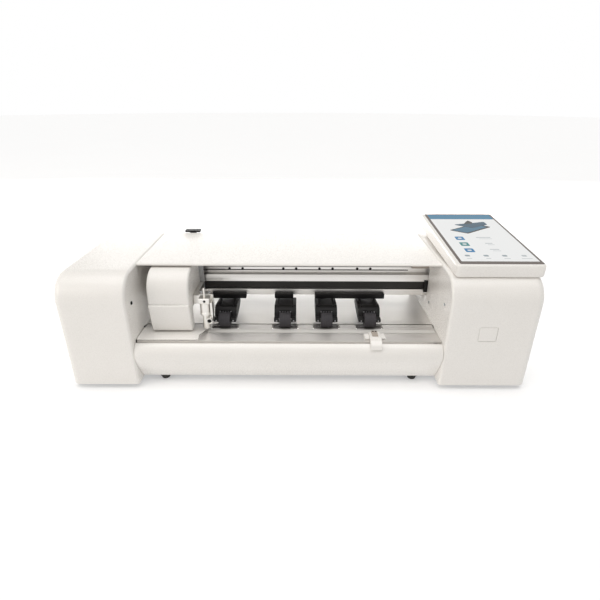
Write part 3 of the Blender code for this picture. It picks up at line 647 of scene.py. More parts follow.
def long_cover(name, path, low, high, wall, node_name):
    """A moulding of one outline (y, z) from low to high along x."""
    rings = [[(x, y, z) for y, z in path] for x in (low, low + 0.5, high - 0.5, high)]
    work = skin(rings, closed=False, capped=False)
    return thicken(piece(name, work, white_abs, stands_for=[node_name]), wall)


long_cover("front_nose_cover", nose_path(28), nose_low.x, nose_high.x, 2.2, "front_cover")

top_low, top_high = cad("top_cover")
top_path = [(top_low.y, top_high.z - 2.6)]
top_path += arc((top_low.y + 2.0, top_high.z - 2.0), 2.0, 180, 90, 6)
top_path += arc((top_high.y - BACK_ROUND, top_high.z - BACK_ROUND), BACK_ROUND, 90, 0, 12)
top_path += [(top_high.y, top_low.z)]
top_cover = long_cover("top_cover_moulding", top_path, top_low.x, top_high.x, 2.0, "top_cover")

rear_low, rear_high = cad("rear_cover")
rear_path = [(rear_high.y, rear_low.z), (rear_high.y, rear_high.z)]
rear_cover = long_cover("rear_cover_panel", rear_path, rear_low.x, rear_high.x, 2.0, "rear_cover")

LEVER_X = -152.3
notch = (LEVER_X - 12.2, LEVER_X + 12.2)
carve(top_cover, block((notch[0], 173.5, 110.0), (notch[1], 190.0, 140.0), 1.0))
carve(rear_cover, block((notch[0], 170.0, 84.0), (notch[1], 190.0, 130.0), 1.0))

# %% [markdown]
# ## The platen's white cover
#
# A flat white plate covers the platen's left end, where the carriage parks. Its free corner is cut back so
# that the blade holder can come down beside it.

# %% Left platen cover
parked_low, parked_high = cad("left_platen_cover")
corner_x = parked_high.x
parking = rounded(
    [
        (parked_low.x, parked_low.y),
        (corner_x - 5.5, parked_low.y),
        (corner_x - 6.5, 24.0, 6.0),
        (corner_x, 38.0, 6.0),
        (corner_x, parked_high.y),
        (parked_low.x, parked_high.y),
    ],
    1.0,
)
piece(
    "platen_end_cover",
    bar(parking, "Z", parked_low.z, parked_high.z, 0.5),
    white_abs,
    stands_for=["left_platen_cover"],
)

# %% [markdown]
# ## The beam
#
# The beam is one aluminium extrusion. Down its front it has a flat band, a ledge, a face that swells forward,
# a deep channel for the belt and a flange below it. Every change of slope reads as one line of light or shade
# along the whole machine, so the outline is drawn with true small radii.

# %% Beam
bulge = arc((115.0, 94.5), 21.0, 156, 180, 10)
beam_outline = [(y, z, 0.02) for y, z in bulge]
beam_outline += [(112.0, 94.5), (112.0, 83.5), (beam_low.y, 83.5), (beam_low.y, 77.5), (95.2, 77.2)]
beam_outline += [(95.2, beam_low.z), (beam_high.y, beam_low.z), (beam_high.y, beam_high.z, 1.0)]
beam_outline += [(103.0, beam_high.z), (103.0, 103.8)]
piece(
    "beam_extrusion",
    bar(rounded(beam_outline, 0.35, 3), "X", beam_low.x, beam_high.x),
    extruded_aluminium,
    stands_for=["beam"],
)

# %% [markdown]
# ## Screws
#
# A screw is what tells a viewer the scale of a machine. Each head here is a low turned dome with its recess
# really cut in: a cross in the casings, a hexagon in the metal parts. All heads of one kind form one piece,
# and one boolean cuts all their recesses, which is quicker than one for each.


# %% Screw heads
def star(centre, arm, half):
    """A cross with arms of that length and half width."""
    a, b = centre
    quarter = [(arm, half), (half, half), (half, arm)]
    turns = [(1, 0), (0, 1), (-1, 0), (0, -1)]
    return [(a + x * c - y * s, b + x * s + y * c) for c, s in turns for x, y in quarter]


def screws(name, axis, towards, places, radius, rise, recess, finish, body="frame"):
    """Screw heads at (first, second, face) places, raised by rise towards +1 or -1 on the axis."""
    heads, cuts = [], []
    for first, second, face in places:
        shape = [(0.0, 1.0), (0.55, 0.94), (0.85, 0.7), (1.0, 0.25), (1.0, -0.3), (0.0, -0.3)]
        dome = [(radius * r, face + towards * rise * h) for r, h in shape]
        heads.append(turned(dome, axis, (first, second), 24))
        ends = sorted((face + towards * rise * 1.5, face + towards * rise * 0.35))
        if recess == "cross":
            cuts.append(bar(star((first, second), radius * 0.55, radius * 0.13), axis, *ends))
        else:
            cuts.append(bar(arc((first, second), radius * 0.5, 0, 300, 5), axis, *ends))
    return carve(piece(name, together(heads), finish, body), together(cuts))


left_places = [(y, z, left_high.x) for y, z in ((17.2, 99.2), (13.2, 51.8), (43.1, 53.4))]
screws("left_wall_screws", "X", 1, left_places, 2.3, 1.2, "cross", black_nylon)
right_places = [(y, z, right_low.x) for y, z in ((21.2, 96.8), (78.1, 72.8), (80.3, 33.6))]
screws("right_wall_screws", "X", -1, right_places, 1.9, 1.0, "cross", zinc_steel)

# %% [markdown]
# ## Rail, end stop and belt guard
#
# The carriage runs on a ground steel rail, screwed down through counterbored holes every 25 mm, with a
# shallow ball groove in each side. At the right end a block of beige acetal stops it. The belt dives into the
# right casing beside a small black guard.

# %% Rail and end stop
rail_low, rail_high = cad("linear_rail")
GROOVE_Z = (rail_low.z + rail_high.z) / 2 + 0.4
rail_outline = [
    (rail_low.y, rail_low.z),
    (rail_high.y, rail_low.z),
    (rail_high.y, GROOVE_Z - 0.9),
    (rail_high.y - 0.7, GROOVE_Z),
    (rail_high.y, GROOVE_Z + 0.9),
    (rail_high.y, rail_high.z),
    (rail_low.y, rail_high.z),
    (rail_low.y, GROOVE_Z + 0.9),
    (rail_low.y + 0.7, GROOVE_Z),
    (rail_low.y, GROOVE_Z - 0.9),
]
rail = piece(
    "guide_rail",
    bar(rounded(rail_outline, 0.35, 2), "X", rail_low.x, rail_high.x, 0.3, 1),
    ground_steel,
    stands_for=["linear_rail"],
)
RAIL_Y = (rail_low.y + rail_high.y) / 2
HOLE_PITCH = 25.0
holes = [rail_low.x + 10.0 + HOLE_PITCH * i for i in range(13)]
carve(rail, together([bar(arc((x, RAIL_Y), 3.0, 0, 345, 23), "Z", rail_high.z - 2.6, 130.0) for x in holes]))
hole_places = [(x, RAIL_Y, rail_high.z - 2.5) for x in holes]
screws("rail_screws", "Z", 1, hole_places, 2.5, 2.0, "hexagon", zinc_steel)

stop_low, stop_high = cad("end_stop")
STEP_Y = stop_low.y + 11.0
stop_outline = [
    (stop_low.y, stop_low.z),
    (stop_high.y, stop_low.z),
    (stop_high.y, stop_high.z),
    (STEP_Y, stop_high.z),
    (STEP_Y - 2.0, stop_high.z - 2.4),
    (stop_low.y, stop_high.z - 2.4),
]
piece(
    "rail_end_stop",
    bar(rounded(stop_outline, 0.8, 3), "X", stop_low.x, stop_high.x, 0.8),
    acetal,
    stands_for=["end_stop"],
)
stop_places = [(x, y, stop_high.z - 2.5) for x, y in ((150.0, 102.5), (156.0, 101.5), (161.5, 102.5))]
screws("end_stop_screws", "Z", 1, stop_places, 1.9, 1.6, "hexagon", black_nylon)
guard = block((161.5, 91.3, 80.5), (right_low.x - 0.3, 93.6, 96.5), 0.5)
piece("belt_guard", guard, black_nylon)

# %% [markdown]
# ## Feed shaft and grit sleeves
#
# One ground shaft turns under the pinch wheels. Under each wheel it carries a sleeve of grit, a fraction of a
# millimetre larger than the shaft, so that only the sleeves touch the film. The sleeves are a second piece on
# the same body, because their finish is so different.

# %% Feed shaft
wheel_nodes = [f"pinch_wheel_{i}" for i in (1, 2, 3, 4)]
wheel_boxes = [cad(name) for name in wheel_nodes]
WHEEL_X = [(low.x + high.x) / 2 for low, high in wheel_boxes]
WHEEL_R = (wheel_boxes[0][1].z - wheel_boxes[0][0].z) / 2
AXLE_YZ = ((wheel_boxes[0][0].y + wheel_boxes[0][1].y) / 2, (wheel_boxes[0][0].z + wheel_boxes[0][1].z) / 2)
GRIT_R = (shaft_high.z - shaft_low.z) / 2
CORE_R, END_R, SLEEVE_HALF = 5.0, 4.0, 15.0

core = [(0.0, shaft_high.x), (END_R - 0.5, shaft_high.x), (END_R, shaft_high.x - 0.5), (END_R, 165.0)]
core += [(CORE_R, 165.0), (CORE_R, -189.0), (END_R, -189.0)]
core += [(END_R, shaft_low.x + 0.5), (END_R - 0.5, shaft_low.x), (0.0, shaft_low.x)]
feed_shaft = turned(core, "X", SHAFT_YZ, 64)
piece("feed_shaft_core", feed_shaft, ground_steel, "feed_roller", ["drive_shaft"])

sleeves = []
for x in WHEEL_X:
    ends = (x + SLEEVE_HALF, x - SLEEVE_HALF)
    ring = [(CORE_R + 0.02, ends[0]), (GRIT_R - 0.3, ends[0]), (GRIT_R, ends[0] - 0.3)]
    ring += [(GRIT_R, ends[1] + 0.3), (GRIT_R - 0.3, ends[1]), (CORE_R + 0.02, ends[1])]
    sleeves.append(turned(ring, "X", SHAFT_YZ, 64))
piece("grit_sleeves", together(sleeves), grit_steel, "feed_roller")

# %% [markdown]
# ## Pinch arms and wheels
#
# Three black bars hang under the beam and carry four moulded arms. Each arm is a thick lever with a fork at
# its front end: the wheel sits in the fork on a steel axle. The arm is one side outline given width, and then
# the fork's slot is cut from it, in the same order as a maker would mill it.

# %% Mounting bars
for i in (1, 2, 3):
    low, high = cad(f"pinch_mount_{i}")
    piece(f"pinch_bar_{i}", block(low, high, 0.7), black_nylon, stands_for=[f"pinch_mount_{i}"])

# %% Arms
arm_low, arm_high = cad("pinch_arm_1")
ARM_HALF = (arm_high.x - arm_low.x) / 2
FORK_HALF = 7.5
ARM_OUTLINE = [
    (96.0, 64.5),
    (96.0, 70.5),
    (84.0, 72.0),
    (64.0, 74.8, 3.0),
    (59.0, 73.5, 2.0),
    (56.0, 69.0, 2.0),
    (54.5, 63.0, 1.5),
    (50.0, 65.5, 2.0),
    (45.5, 64.5, 2.0),
    (45.0, 60.5, 1.5),
    (49.0, 59.0, 1.5),
    (58.0, 58.5),
    (86.0, 61.0),
]


def pinch_arm(number, x):
    """One arm with its tail, fork slot and two side ribs."""
    arm = piece(
        f"arm_moulding_{number}",
        bar(rounded(ARM_OUTLINE, 0.8, 3), "X", x - ARM_HALF, x + ARM_HALF, 0.6, 2),
        black_nylon,
        f"arm_{number}",
        [f"pinch_arm_{number}"],
    )
    carve(arm, block((x - FORK_HALF, 38.0, 50.0), (x + FORK_HALF, 58.8, 68.5), 0.6))
    tail = block((x - 5.0, 95.0, 65.0), (x + 5.0, 152.0, 68.5), 0.7)
    piece(f"arm_tail_{number}", tail, black_nylon, f"arm_{number}")
    ribs = []
    for rib_x in (x - 9.0, x + 9.0):
        ribs.append(block((rib_x - 1.0, 60.5, 70.0), (rib_x + 1.0, 83.0, 75.4), 0.6))
    ribs.append(block((x - 8.0, 56.2, 69.3), (x + 8.0, 58.6, 71.2), 0.5))
    piece(f"arm_ribs_{number}", together(ribs), black_nylon, f"arm_{number}")
    teeth = [(x - 6.4 + 3.2 * i, 69.3, 56.2) for i in range(5)]
    teeth += [(x + side * 10.4, 62.2, 45.3) for side in (-1, 1)]
    studs = [
        turned([(0.0, y - 0.8), (0.8, y - 0.6), (1.0, y + 0.6), (0.0, y + 0.6)], "Y", (across, up), 16)
        for across, up, y in teeth
    ]
    piece(f"arm_studs_{number}", together(studs), zinc_steel, f"arm_{number}")


for number, x in enumerate(WHEEL_X, 1):
    pinch_arm(number, x)

# %% [markdown]
# The wheel is a rubber tyre on a black hub, and the hub turns on a steel axle whose ends show on both sides.
# The tyre's face is ground, so it has fine rings round it: very shallow grooves, cut in the profile itself.

# %% Wheels
TYRE_HALF = 7.0
GROOVE_R = WHEEL_R - 0.18
HUB_R = 4.6


def pinch_wheel(number, x):
    """A tyre, its hub and its axle, which turn together."""
    body = f"wheel_{number}"
    edge = x + TYRE_HALF
    face = [(WHEEL_R - 0.8, edge), (WHEEL_R - 0.2, edge - 0.3), (WHEEL_R, edge - 0.8)]
    grooves = []
    for i in range(6):
        at = x + TYRE_HALF - 1.6 - 2.2 * i
        grooves += [(WHEEL_R, at), (GROOVE_R, at - 0.15), (GROOVE_R, at - 0.45), (WHEEL_R, at - 0.6)]
    back = [(radius, 2 * x - along) for radius, along in reversed(face)]
    tyre = [(HUB_R, x + TYRE_HALF - 0.2), *face, *grooves, *back, (HUB_R, x - TYRE_HALF + 0.2)]
    piece(f"tyre_{number}", turned(tyre, "X", AXLE_YZ, 64), black_rubber, body, [f"pinch_wheel_{number}"])
    hub = [(1.7, x + 7.2), (3.2, x + 7.2), (HUB_R - 0.05, x + 6.4), (HUB_R - 0.05, x - 6.4), (3.2, x - 7.2)]
    piece(f"hub_{number}", turned([*hub, (1.7, x - 7.2)], "X", AXLE_YZ, 32), black_nylon, body)
    pin = [(0.0, x + 13.0), (1.2, x + 13.0), (1.6, x + 12.6)]
    pin += [(1.6, x - 12.6), (1.2, x - 13.0), (0.0, x - 13.0)]
    piece(f"axle_{number}", turned(pin, "X", AXLE_YZ, 24), ground_steel, body)


for number, x in enumerate(WHEEL_X, 1):
    pinch_wheel(number, x)

# %% [markdown]
# Screws through the beam hold the bars. Their black heads stand in pairs along the beam's top front edge,
# in line with the arms. Just below them a thin black strip paints the shadow line along that edge: painted
# shade.

# %% Beam screws and painted shadow strip
PAIRS = [(-91.0, -74.0), (-21.0, -4.3), (26.0, 43.0), (75.0, 92.0)]
pair_places = [(x, 108.6, 103.0) for pair in PAIRS for x in pair]
screws("beam_screws", "Y", -1, pair_places, 1.7, 1.0, "hexagon", black_nylon)
# A thin black rubber strip under the beam's top front edge stands for the shadow line there: painted shade.
beam_shadow_strip = block((rail_low.x, 102.2, 106.4), (141.0, 103.15, 107.4), 0.2)
piece("beam_edge_shadow_strip", beam_shadow_strip, belt_rubber)

# %% [markdown]
# ## The carriage
#
# Two white half covers hide the carriage. They split along a level line, and the upper one has a wide round
# at its top front. Their rims are rolled like the casings', only tighter. Rings can't be drawn smaller so
# simply here, since the outline has both long sides and tight turns, so the rims are bevelled in the mesh
# instead.

# %% Carriage covers
upper_low, upper_high = cad("carriage_cover_upper")
lower_low, lower_high = cad("carriage_cover_lower")
CROWN_R = 26.0
COVER_BACK_Y = 86.0
PROUD = 2.4
SPLIT_Z = upper_low.z


def half_cover(name, outline, open_count, rim, node_name):
    """A half cover: side walls and a front, open where the outline's last open_count sides are."""
    ends = [[(x, y, z) for y, z in outline] for x in (upper_low.x, upper_high.x)]
    work = skin(ends)
    count = len(outline)
    open_sides = {tuple(sorted((i, (i + 1) % count))) for i in range(count - open_count, count)}
    work.verts.ensure_lookup_table()
    places = [Vector(point) for point in ends[0]]
    for face in list(work.faces):
        if len(face.verts) != 4:
            continue
        found = {
            i for i, place in enumerate(places) for v in face.verts if (v.co.yz - place.yz).length < 0.001
        }
        if tuple(sorted(found)) in open_sides:
            bmesh.ops.delete(work, geom=[face], context="FACES_ONLY")
    rims = [
        edge
        for edge in work.edges
        if len(edge.link_faces) == 2 and any(len(face.verts) > 4 for face in edge.link_faces)
    ]
    bmesh.ops.bevel(work, geom=rims, offset=rim, segments=6, profile=0.5, affect="EDGES", clamp_overlap=True)
    bmesh.ops.recalc_face_normals(work, faces=work.faces)
    return thicken(piece(name, work, white_abs, "carriage", [node_name]), 1.8)


crown = arc((upper_low.y + 26.2, upper_high.z - CROWN_R), CROWN_R, 180, 92, 18)
upper_outline = [(upper_low.y, SPLIT_Z), *crown, (COVER_BACK_Y, upper_high.z), (COVER_BACK_Y, SPLIT_Z)]
half_cover("carriage_cover_top", upper_outline, 2, 2.8, "carriage_cover_upper")

lower_outline = [(38.0, lower_low.z), (30.2, lower_low.z), (28.4, 58.5), (26.8, 68.0), (25.4, 82.0)]
lower_outline += [(lower_low.y - PROUD, lower_high.z - 1.0), (lower_low.y - 0.2, lower_high.z)]
lower_outline += [(COVER_BACK_Y, lower_high.z), (COVER_BACK_Y, 85.0), (38.0, 84.0)]
half_cover("carriage_cover_bottom", lower_outline, 4, 2.5, "carriage_cover_lower")

# %% [markdown]
# Inside, the carriage is a folded zinc plate with a block that rides on the rail. Those stay as the working
# solids and only take a finish. The guide that the tool slides on is milled aluminium, with two screws in it.

# %% Tool guide
guide_low, guide_high = cad("tool_guide")
guide_outline = [
    (guide_low.x, guide_low.y),
    (guide_high.x, guide_low.y),
    (guide_high.x, guide_low.y + 12.6),
    (-122.0, guide_low.y + 12.6, 2.0),
    (-122.0, guide_high.y),
    (guide_low.x, guide_high.y),
]
piece(
    "tool_guide_block",
    bar(rounded(guide_outline, 0.5, 3), "Z", guide_low.z, guide_high.z, 0.4, 2),
    machined_aluminium,
    "carriage",
    ["tool_guide"],
)
guide_screws = [(-118.5, guide_low.y + 8.6), (-109.0, guide_low.y + 8.6)]
screws(
    "guide_screws",
    "Z",
    1,
    [(x, y, guide_high.z) for x, y in guide_screws],
    1.8,
    1.6,
    "hexagon",
    zinc_steel,
    "carriage",
)

# %% [markdown]
# ## The tool
#
# The blade holder is a turned aluminium barrel with a knurled collar, and a split clamp grips it. A thumb
# screw with a knurled rim closes the clamp. The clamp's upper end carries a thin pin that the solenoid
# pushes.

# %% Tool slide
holder_low, holder_high = cad("blade_holder")
TOOL_XY = ((holder_low.x + holder_high.x) / 2, (holder_low.y + holder_high.y) / 2)
knob_low, knob_high = cad("clamp_knob")
KNOB_XZ = ((knob_low.x + knob_high.x) / 2, (knob_low.z + knob_high.z) / 2)
slide_high = cad("tool_slide")[1]

slide_parts = [
    block((-119.0, 40.3, 79.0), (-102.0, 43.0, slide_high.z), 0.5),
    block((-117.2, 28.0, 92.8), (-104.5, 40.2, slide_high.z), 0.9),
    block((-105.0, 31.0, 75.6), (-102.0, 38.6, 92.7), 0.6),
    block((-104.6, 37.0, 79.5), (-102.4, 40.25, 92.6), 0.4),
]
piece("tool_clamp", together(slide_parts), machined_aluminium, "tool", ["tool_slide"])
lug = block((-108.6, 30.0, 67.5), (-102.2, 38.6, 75.5), 0.9)
piece("tool_clamp_lug", lug, machined_aluminium, "tool")
screws("clamp_screw", "Y", -1, [(-110.2, 96.0, 28.0)], 1.5, 0.5, "hexagon", black_nylon, "tool")

# %% Blade holder
tip = holder_low.z
barrel = [
    (0.0, holder_high.z),
    (1.1, holder_high.z),
    (1.3, holder_high.z - 0.4),
    (1.3, 92.6),
    (5.2, 92.6),
    (5.7, 92.1),
    (5.7, 82.0),
    (5.4, 81.6),
    (5.4, 81.0),
    (6.0, 80.7),
    (6.3, 80.3),
    (6.3, 77.6),
    (5.8, 76.9),
    (3.9, 76.6),
    (3.9, 60.2),
    (3.0, 58.5),
    (1.2, 57.5),
    (0.35, tip),
    (0.0, tip),
]
blade = turned(barrel, "Z", TOOL_XY, 96, knurl=(77.5, 80.4, 32, 0.25))
piece("blade_barrel", blade, machined_aluminium, "tool", ["blade_holder"])

# %% Thumb screw
face_y = knob_low.y
knob = [
    (0.0, knob_high.y),
    (1.2, knob_high.y),
    (1.2, 29.7),
    (3.8, 29.7),
    (4.1, 29.3),
    (4.1, face_y + 0.9),
    (3.8, face_y + 0.1),
    (2.9, face_y),
    (2.5, face_y + 0.3),
    (2.5, face_y + 1.6),
    (0.0, face_y + 1.6),
]
thumb = turned(knob, "Y", KNOB_XZ, 96, knurl=(face_y + 0.8, 29.4, 24, 0.25))
piece("thumb_screw", thumb, machined_aluminium, "tool_knob", ["clamp_knob"])
socket = bar(arc(KNOB_XZ, 2.4, 0, 345, 23), "Y", face_y + 1.0, face_y + 1.55, 0.2)
carve(
    piece("thumb_screw_socket", socket, black_nylon, "tool_knob"),
    bar(arc(KNOB_XZ, 0.9, 0, 300, 5), "Y", face_y + 0.5, face_y + 1.3),
)

# %% [markdown]
# ## The sheet trimmer
#
# A white saddle rides along the front edge of the platen with a small blade in it. Its side outline hooks
# over the nose cover. A grey plastic block on top holds the blade, with two dark screws.

# %% Trimmer
trim_low, trim_high = cad("trimmer_slider")
TRIM_X = (trim_low.x + trim_high.x) / 2
saddle = [
    (27.0, 53.4),
    (27.0, 57.2, 0.6),
    (12.5, 58.0, 8.0),
    (6.0, 56.6, 4.0),
    (1.8, 53.0, 4.0),
    (trim_low.y, 48.0, 0.4),
    (1.8, 47.8, 0.4),
    (3.6, 51.0, 3.0),
    (7.0, 52.9, 2.0),
    (9.4, 53.2, 0.2),
    (9.4, trim_low.z + 1.5, 0.2),
    (11.2, trim_low.z + 1.5, 0.2),
    (11.2, 53.4, 0.2),
]
saddle_bar = bar(rounded(saddle, 0.3, 6), "X", TRIM_X - 6.5, TRIM_X + 6.5, 0.5, 2)
piece("trimmer_saddle", saddle_bar, white_abs, "trimmer", ["trimmer_slider"])
wings = [
    block((TRIM_X + side * 9.3 - 2.7, 15.0, 53.6), (TRIM_X + side * 9.3 + 2.7, 26.8, 55.6), 0.6)
    for side in (-1, 1)
]
piece("trimmer_wings", together(wings), white_abs, "trimmer")
blade_block = block((TRIM_X - 3.4, 15.0, 56.6), (TRIM_X + 3.4, 26.6, 59.4), 0.5)
piece("trimmer_blade_block", blade_block, acetal, "trimmer")
places = [(TRIM_X - 1.7, 24.4, 59.4), (TRIM_X + 1.7, 24.4, 59.4)]
screws("trimmer_screws", "Z", 1, places, 1.2, 0.5, "cross", black_nylon, "trimmer")

# %% [markdown]
# ## The touch screen
#
# A seven-inch panel lies in a tilted tray on the right casing. The tray is a thick slab whose rim is rounded
# all the way round. It is drawn as rings of a rounded rectangle: the rings grow outwards round the lower
# edge, go straight up the side and shrink again round the upper edge.

# %% Screen tray
tray_box_low, tray_box_high = cad("screen_housing")
glass_box_low, glass_box_high = cad("touch_screen")
TILT = math.radians(4.83)
SCREEN_W, SCREEN_L = 92.7, 163.0
SCREEN_X = (glass_box_low.x + glass_box_high.x) / 2
TOP_FRONT_Z = 146.9
TOP_FRONT_Y = 19.3
CORNER_R = 5.0
RIM_R = 2.2


def tray_top(y):
    """The height of the tray's tilted top at y."""
    return TOP_FRONT_Z + (y - TOP_FRONT_Y) * math.tan(TILT)


def tray_under(y):
    """The height of the tray's underside at y: a chin in front, then a long slope."""
    if y < 24.0:
        return 131.8 + (y - tray_box_low.y) * (135.1 - 131.8) / (24.0 - tray_box_low.y)
    return 135.1 + (y - 24.0) * (144.0 - 135.1) / (tray_box_high.y - 24.0)


def tray_ring(inset, height_at):
    """A rounded rectangle inset from the tray's plan, at the height that the rule gives for each y."""
    radius = CORNER_R - inset
    low_x, high_x = tray_box_low.x + inset, tray_box_high.x - inset
    low_y, high_y = tray_box_low.y + inset, tray_box_high.y - inset
    ring = arc((low_x + radius, low_y + radius), radius, 180, 270, 8)
    ring += arc((high_x - radius, low_y + radius), radius, 270, 360, 8)
    ring += arc((high_x - radius, high_y - radius), radius, 0, 90, 8)
    ring += arc((low_x + radius, high_y - radius), radius, 90, 180, 8)
    return [(x, y, height_at(y)) for x, y in ring]


rings = []
for step in range(7):
    turn = math.pi / 2 * step / 6
    inset, rise = RIM_R * (1 - math.sin(turn)), RIM_R * (1 - math.cos(turn))
    rings.append(tray_ring(inset, lambda y, rise=rise: tray_under(y) + rise))
for step in range(7):
    turn = math.pi / 2 * step / 6
    inset, drop = RIM_R * (1 - math.cos(turn)), RIM_R * (1 - math.sin(turn))
    rings.append(tray_ring(inset, lambda y, drop=drop: tray_top(y) - drop))
tray = piece("screen_tray", skin(rings), white_abs, stands_for=["screen_housing"])

SCREEN_PLACE = Matrix.Translation(
    (
        SCREEN_X,
        TOP_FRONT_Y + SCREEN_L / 2 * math.cos(TILT),
        TOP_FRONT_Z + SCREEN_L / 2 * math.sin(TILT),
    )
) @ Matrix.Rotation(TILT, 4, "X")


def on_screen(work):
    """Moves mesh work drawn flat round the screen's middle to the tilted screen."""
    bmesh.ops.transform(work, matrix=SCREEN_PLACE, verts=work.verts)
    return work


def panel_outline(width, length, radius, middle=(0.0, 0.0)):
    a, b = middle
    half_w, half_l = width / 2, length / 2
    signs = [(-1, -1), (1, -1), (1, 1), (-1, 1)]
    return rounded([(a + half_w * s, b + half_l * t) for s, t in signs], radius, 4)


pocket = bar(panel_outline(SCREEN_W + 0.6, SCREEN_L + 0.6, 2.2), "Z", -5.3, 10.0)
carve(tray, on_screen(pocket))
plinth = block((179.0, 46.0, right_high.z + 0.4), (264.0, 174.0, 140.0), 1.5)
piece("screen_plinth", plinth, white_abs)
glass = bar(panel_outline(SCREEN_W, SCREEN_L, 2.0), "Z", -5.0, 0.2, 0.35, 2)
piece("screen_glass_panel", on_screen(glass), cover_glass, stands_for=["touch_screen"])

# %% [markdown]
# ## The picture on the screen
#
# The display shows a plain start page: a blue bar, a drawing of a film being laid on a phone, three buttons
# with a grey bar beside each, and a row of four small signs. Bars stand where words would be, so there is
# nothing to read. A picture could be a painted texture, but a few flat outlines give sharper edges. They lie
# on the glass in thin layers a few hundredths of a millimetre apart. A display makes its own light, so each
# layer is a little emissive under the same gloss as the glass.


# %% Display finishes
def display_colour(name, hex_colour, glow=0.03):
    """Light from the display under cover glass, with the faint grid of its pixels."""
    made, tree, shader = new_finish(name, "screen_glass", IOR=1.5, Roughness=0.12)
    shader.inputs["Emission Strength"].default_value = glow
    dots = grain(tree, 0.6)
    darker = "#" + "".join(f"{int(int(hex_colour[i : i + 2], 16) * 0.97):02x}" for i in (1, 3, 5))
    colour = blend_colours(tree, dots, darker, hex_colour)
    wire(tree, shader, Base_Color=colour, Emission_Color=colour)
    return made


page_white = display_colour("display_white", "#f2f4f5")
bar_blue = display_colour("display_blue", "#0a739a")
button_blue = display_colour("display_button_blue", "#1b78ad")
button_teal = display_colour("display_button_teal", "#2b8285")
sign_grey = display_colour("display_grey", "#b9c0c4")
text_grey = display_colour("display_text_grey", "#93a0a6")
phone_blue = display_colour("display_phone_blue", "#2f6b88")
phone_teal = display_colour("display_phone_teal", "#0f4a63")
phone_dark = display_colour("display_dark", "#12191d")
print("display layers ready")


# %% The start page
LAYER = 0.03


def layer(name, outlines, level, finish):
    """Flat outlines on the screen, at a level above the glass."""
    base = 0.2 + LAYER * (level - 1) + 0.01
    works = [bar(outline, "Z", base, base + LAYER * 0.8) for outline in outlines]
    return piece(name, on_screen(together(works)), finish)


PAGE_LOW, PAGE_HIGH = (-43.3, -75.2), (43.3, 78.6)
page_middle = tuple((low + high) / 2 for low, high in zip(PAGE_LOW, PAGE_HIGH))
page = panel_outline(PAGE_HIGH[0] - PAGE_LOW[0], PAGE_HIGH[1] - PAGE_LOW[1], 0.4, page_middle)
layer("page_background", [page], 1, page_white)
layer("page_title_bar", [panel_outline(86.6, 17.6, 0.3, (0.0, 69.8))], 2, bar_blue)

phone = [(-29.5, 19.5, 2.0), (-9.0, 7.5, 2.0), (29.0, 31.5, 2.0), (12.0, 44.0, 2.0)]
film = [(-18.0, 40.0, 1.5), (3.0, 27.0, 2.0), (27.0, 40.0, 1.0), (26.0, 51.0, 1.0), (8.0, 46.0, 2.0)]
fold = [(-4.0, 42.0, 0.5), (6.0, 56.0, 1.0), (10.0, 49.0, 1.0), (8.0, 44.0, 0.5)]
inner = [(-26.0, 19.8, 1.5), (-9.2, 10.5, 1.5), (24.0, 31.5, 1.5), (10.0, 40.5, 1.5)]
layer("page_phone_edge", [rounded(phone, 2.0)], 2, phone_dark)
layer("page_phone_face", [rounded(inner, 1.5)], 3, phone_blue)
layer("page_film", [rounded(film, 1.5)], 4, phone_teal)
layer("page_film_fold", [rounded(fold, 0.8)], 5, phone_dark)

button_rows = (-8.0, -26.5, -44.8)
buttons = [panel_outline(10.6, 11.0, 1.6, (-24.5, row)) for row in button_rows]
layer("page_buttons_blue", [buttons[0], buttons[2]], 2, button_blue)
layer("page_button_teal", [buttons[1]], 2, button_teal)
signs = [panel_outline(4.6, 3.0, 1.2, (-24.5, row)) for row in button_rows]
layer("page_button_signs", signs, 3, page_white)
lines = []
for row, wide in zip(button_rows, (18.0, 9.0, 11.0)):
    lines.append(panel_outline(wide, 2.0, 0.8, (5.5, row + 2.6)))
    lines.append(panel_outline(wide * 0.9, 1.0, 0.4, (7.0, row - 1.6)))
for column, wide in zip((-32.0, -10.5, 10.5, 32.5), (6.0, 5.6, 7.0, 12.0)):
    lines.append(panel_outline(wide, 1.2, 0.5, (column, -67.5)))
layer("page_text_bars", lines, 2, sign_grey)
columns = (-32.0, -10.8, 10.2, 32.4)
small_signs = [panel_outline(5.8, 4.4, 1.6, (column, -60.0)) for column in columns]
layer("page_small_signs", small_signs[:3], 2, text_grey)
layer("page_small_sign_last", small_signs[3:], 2, sign_grey)
print("screen tilted", round(math.degrees(TILT), 2), "degrees")

# %% [markdown]
# ## Feet and small screws
#
# The machine stands on four turned rubber feet. Each is a plug under a wide flange, with a screw's hole from
# below. A dark screw holds the platen's end, the last small mark that the eye looks for.

# %% Feet and platen screw
for i in (1, 2, 3, 4):
    low, high = cad(f"foot_{i}")
    middle = ((low.x + high.x) / 2, (low.y + high.y) / 2)
    rubber = [(0.0, high.z), (7.2, high.z), (7.5, high.z - 0.3), (7.5, -0.4), (6.9, -1.0), (5.3, -1.6)]
    rubber += [(5.0, low.z + 0.9), (4.7, low.z + 0.2), (4.3, low.z)]
    rubber += [(2.6, low.z), (2.2, low.z + 0.4), (2.2, low.z + 2.4), (0.0, low.z + 2.4)]
    piece(f"rubber_foot_{i}", turned(rubber, "Z", middle, 48), belt_rubber, stands_for=[f"foot_{i}"])

screws("platen_end_screws", "Z", 1, [(160.6, 10.4, 49.3)], 1.5, 0.8, "cross", black_nylon)

# %% [markdown]
# ## Finishes for the working solids that stay
#
# Flat plates, belts, pulleys and motors already have their true shape in the working model. They keep it and
# only take a finish from the set above.

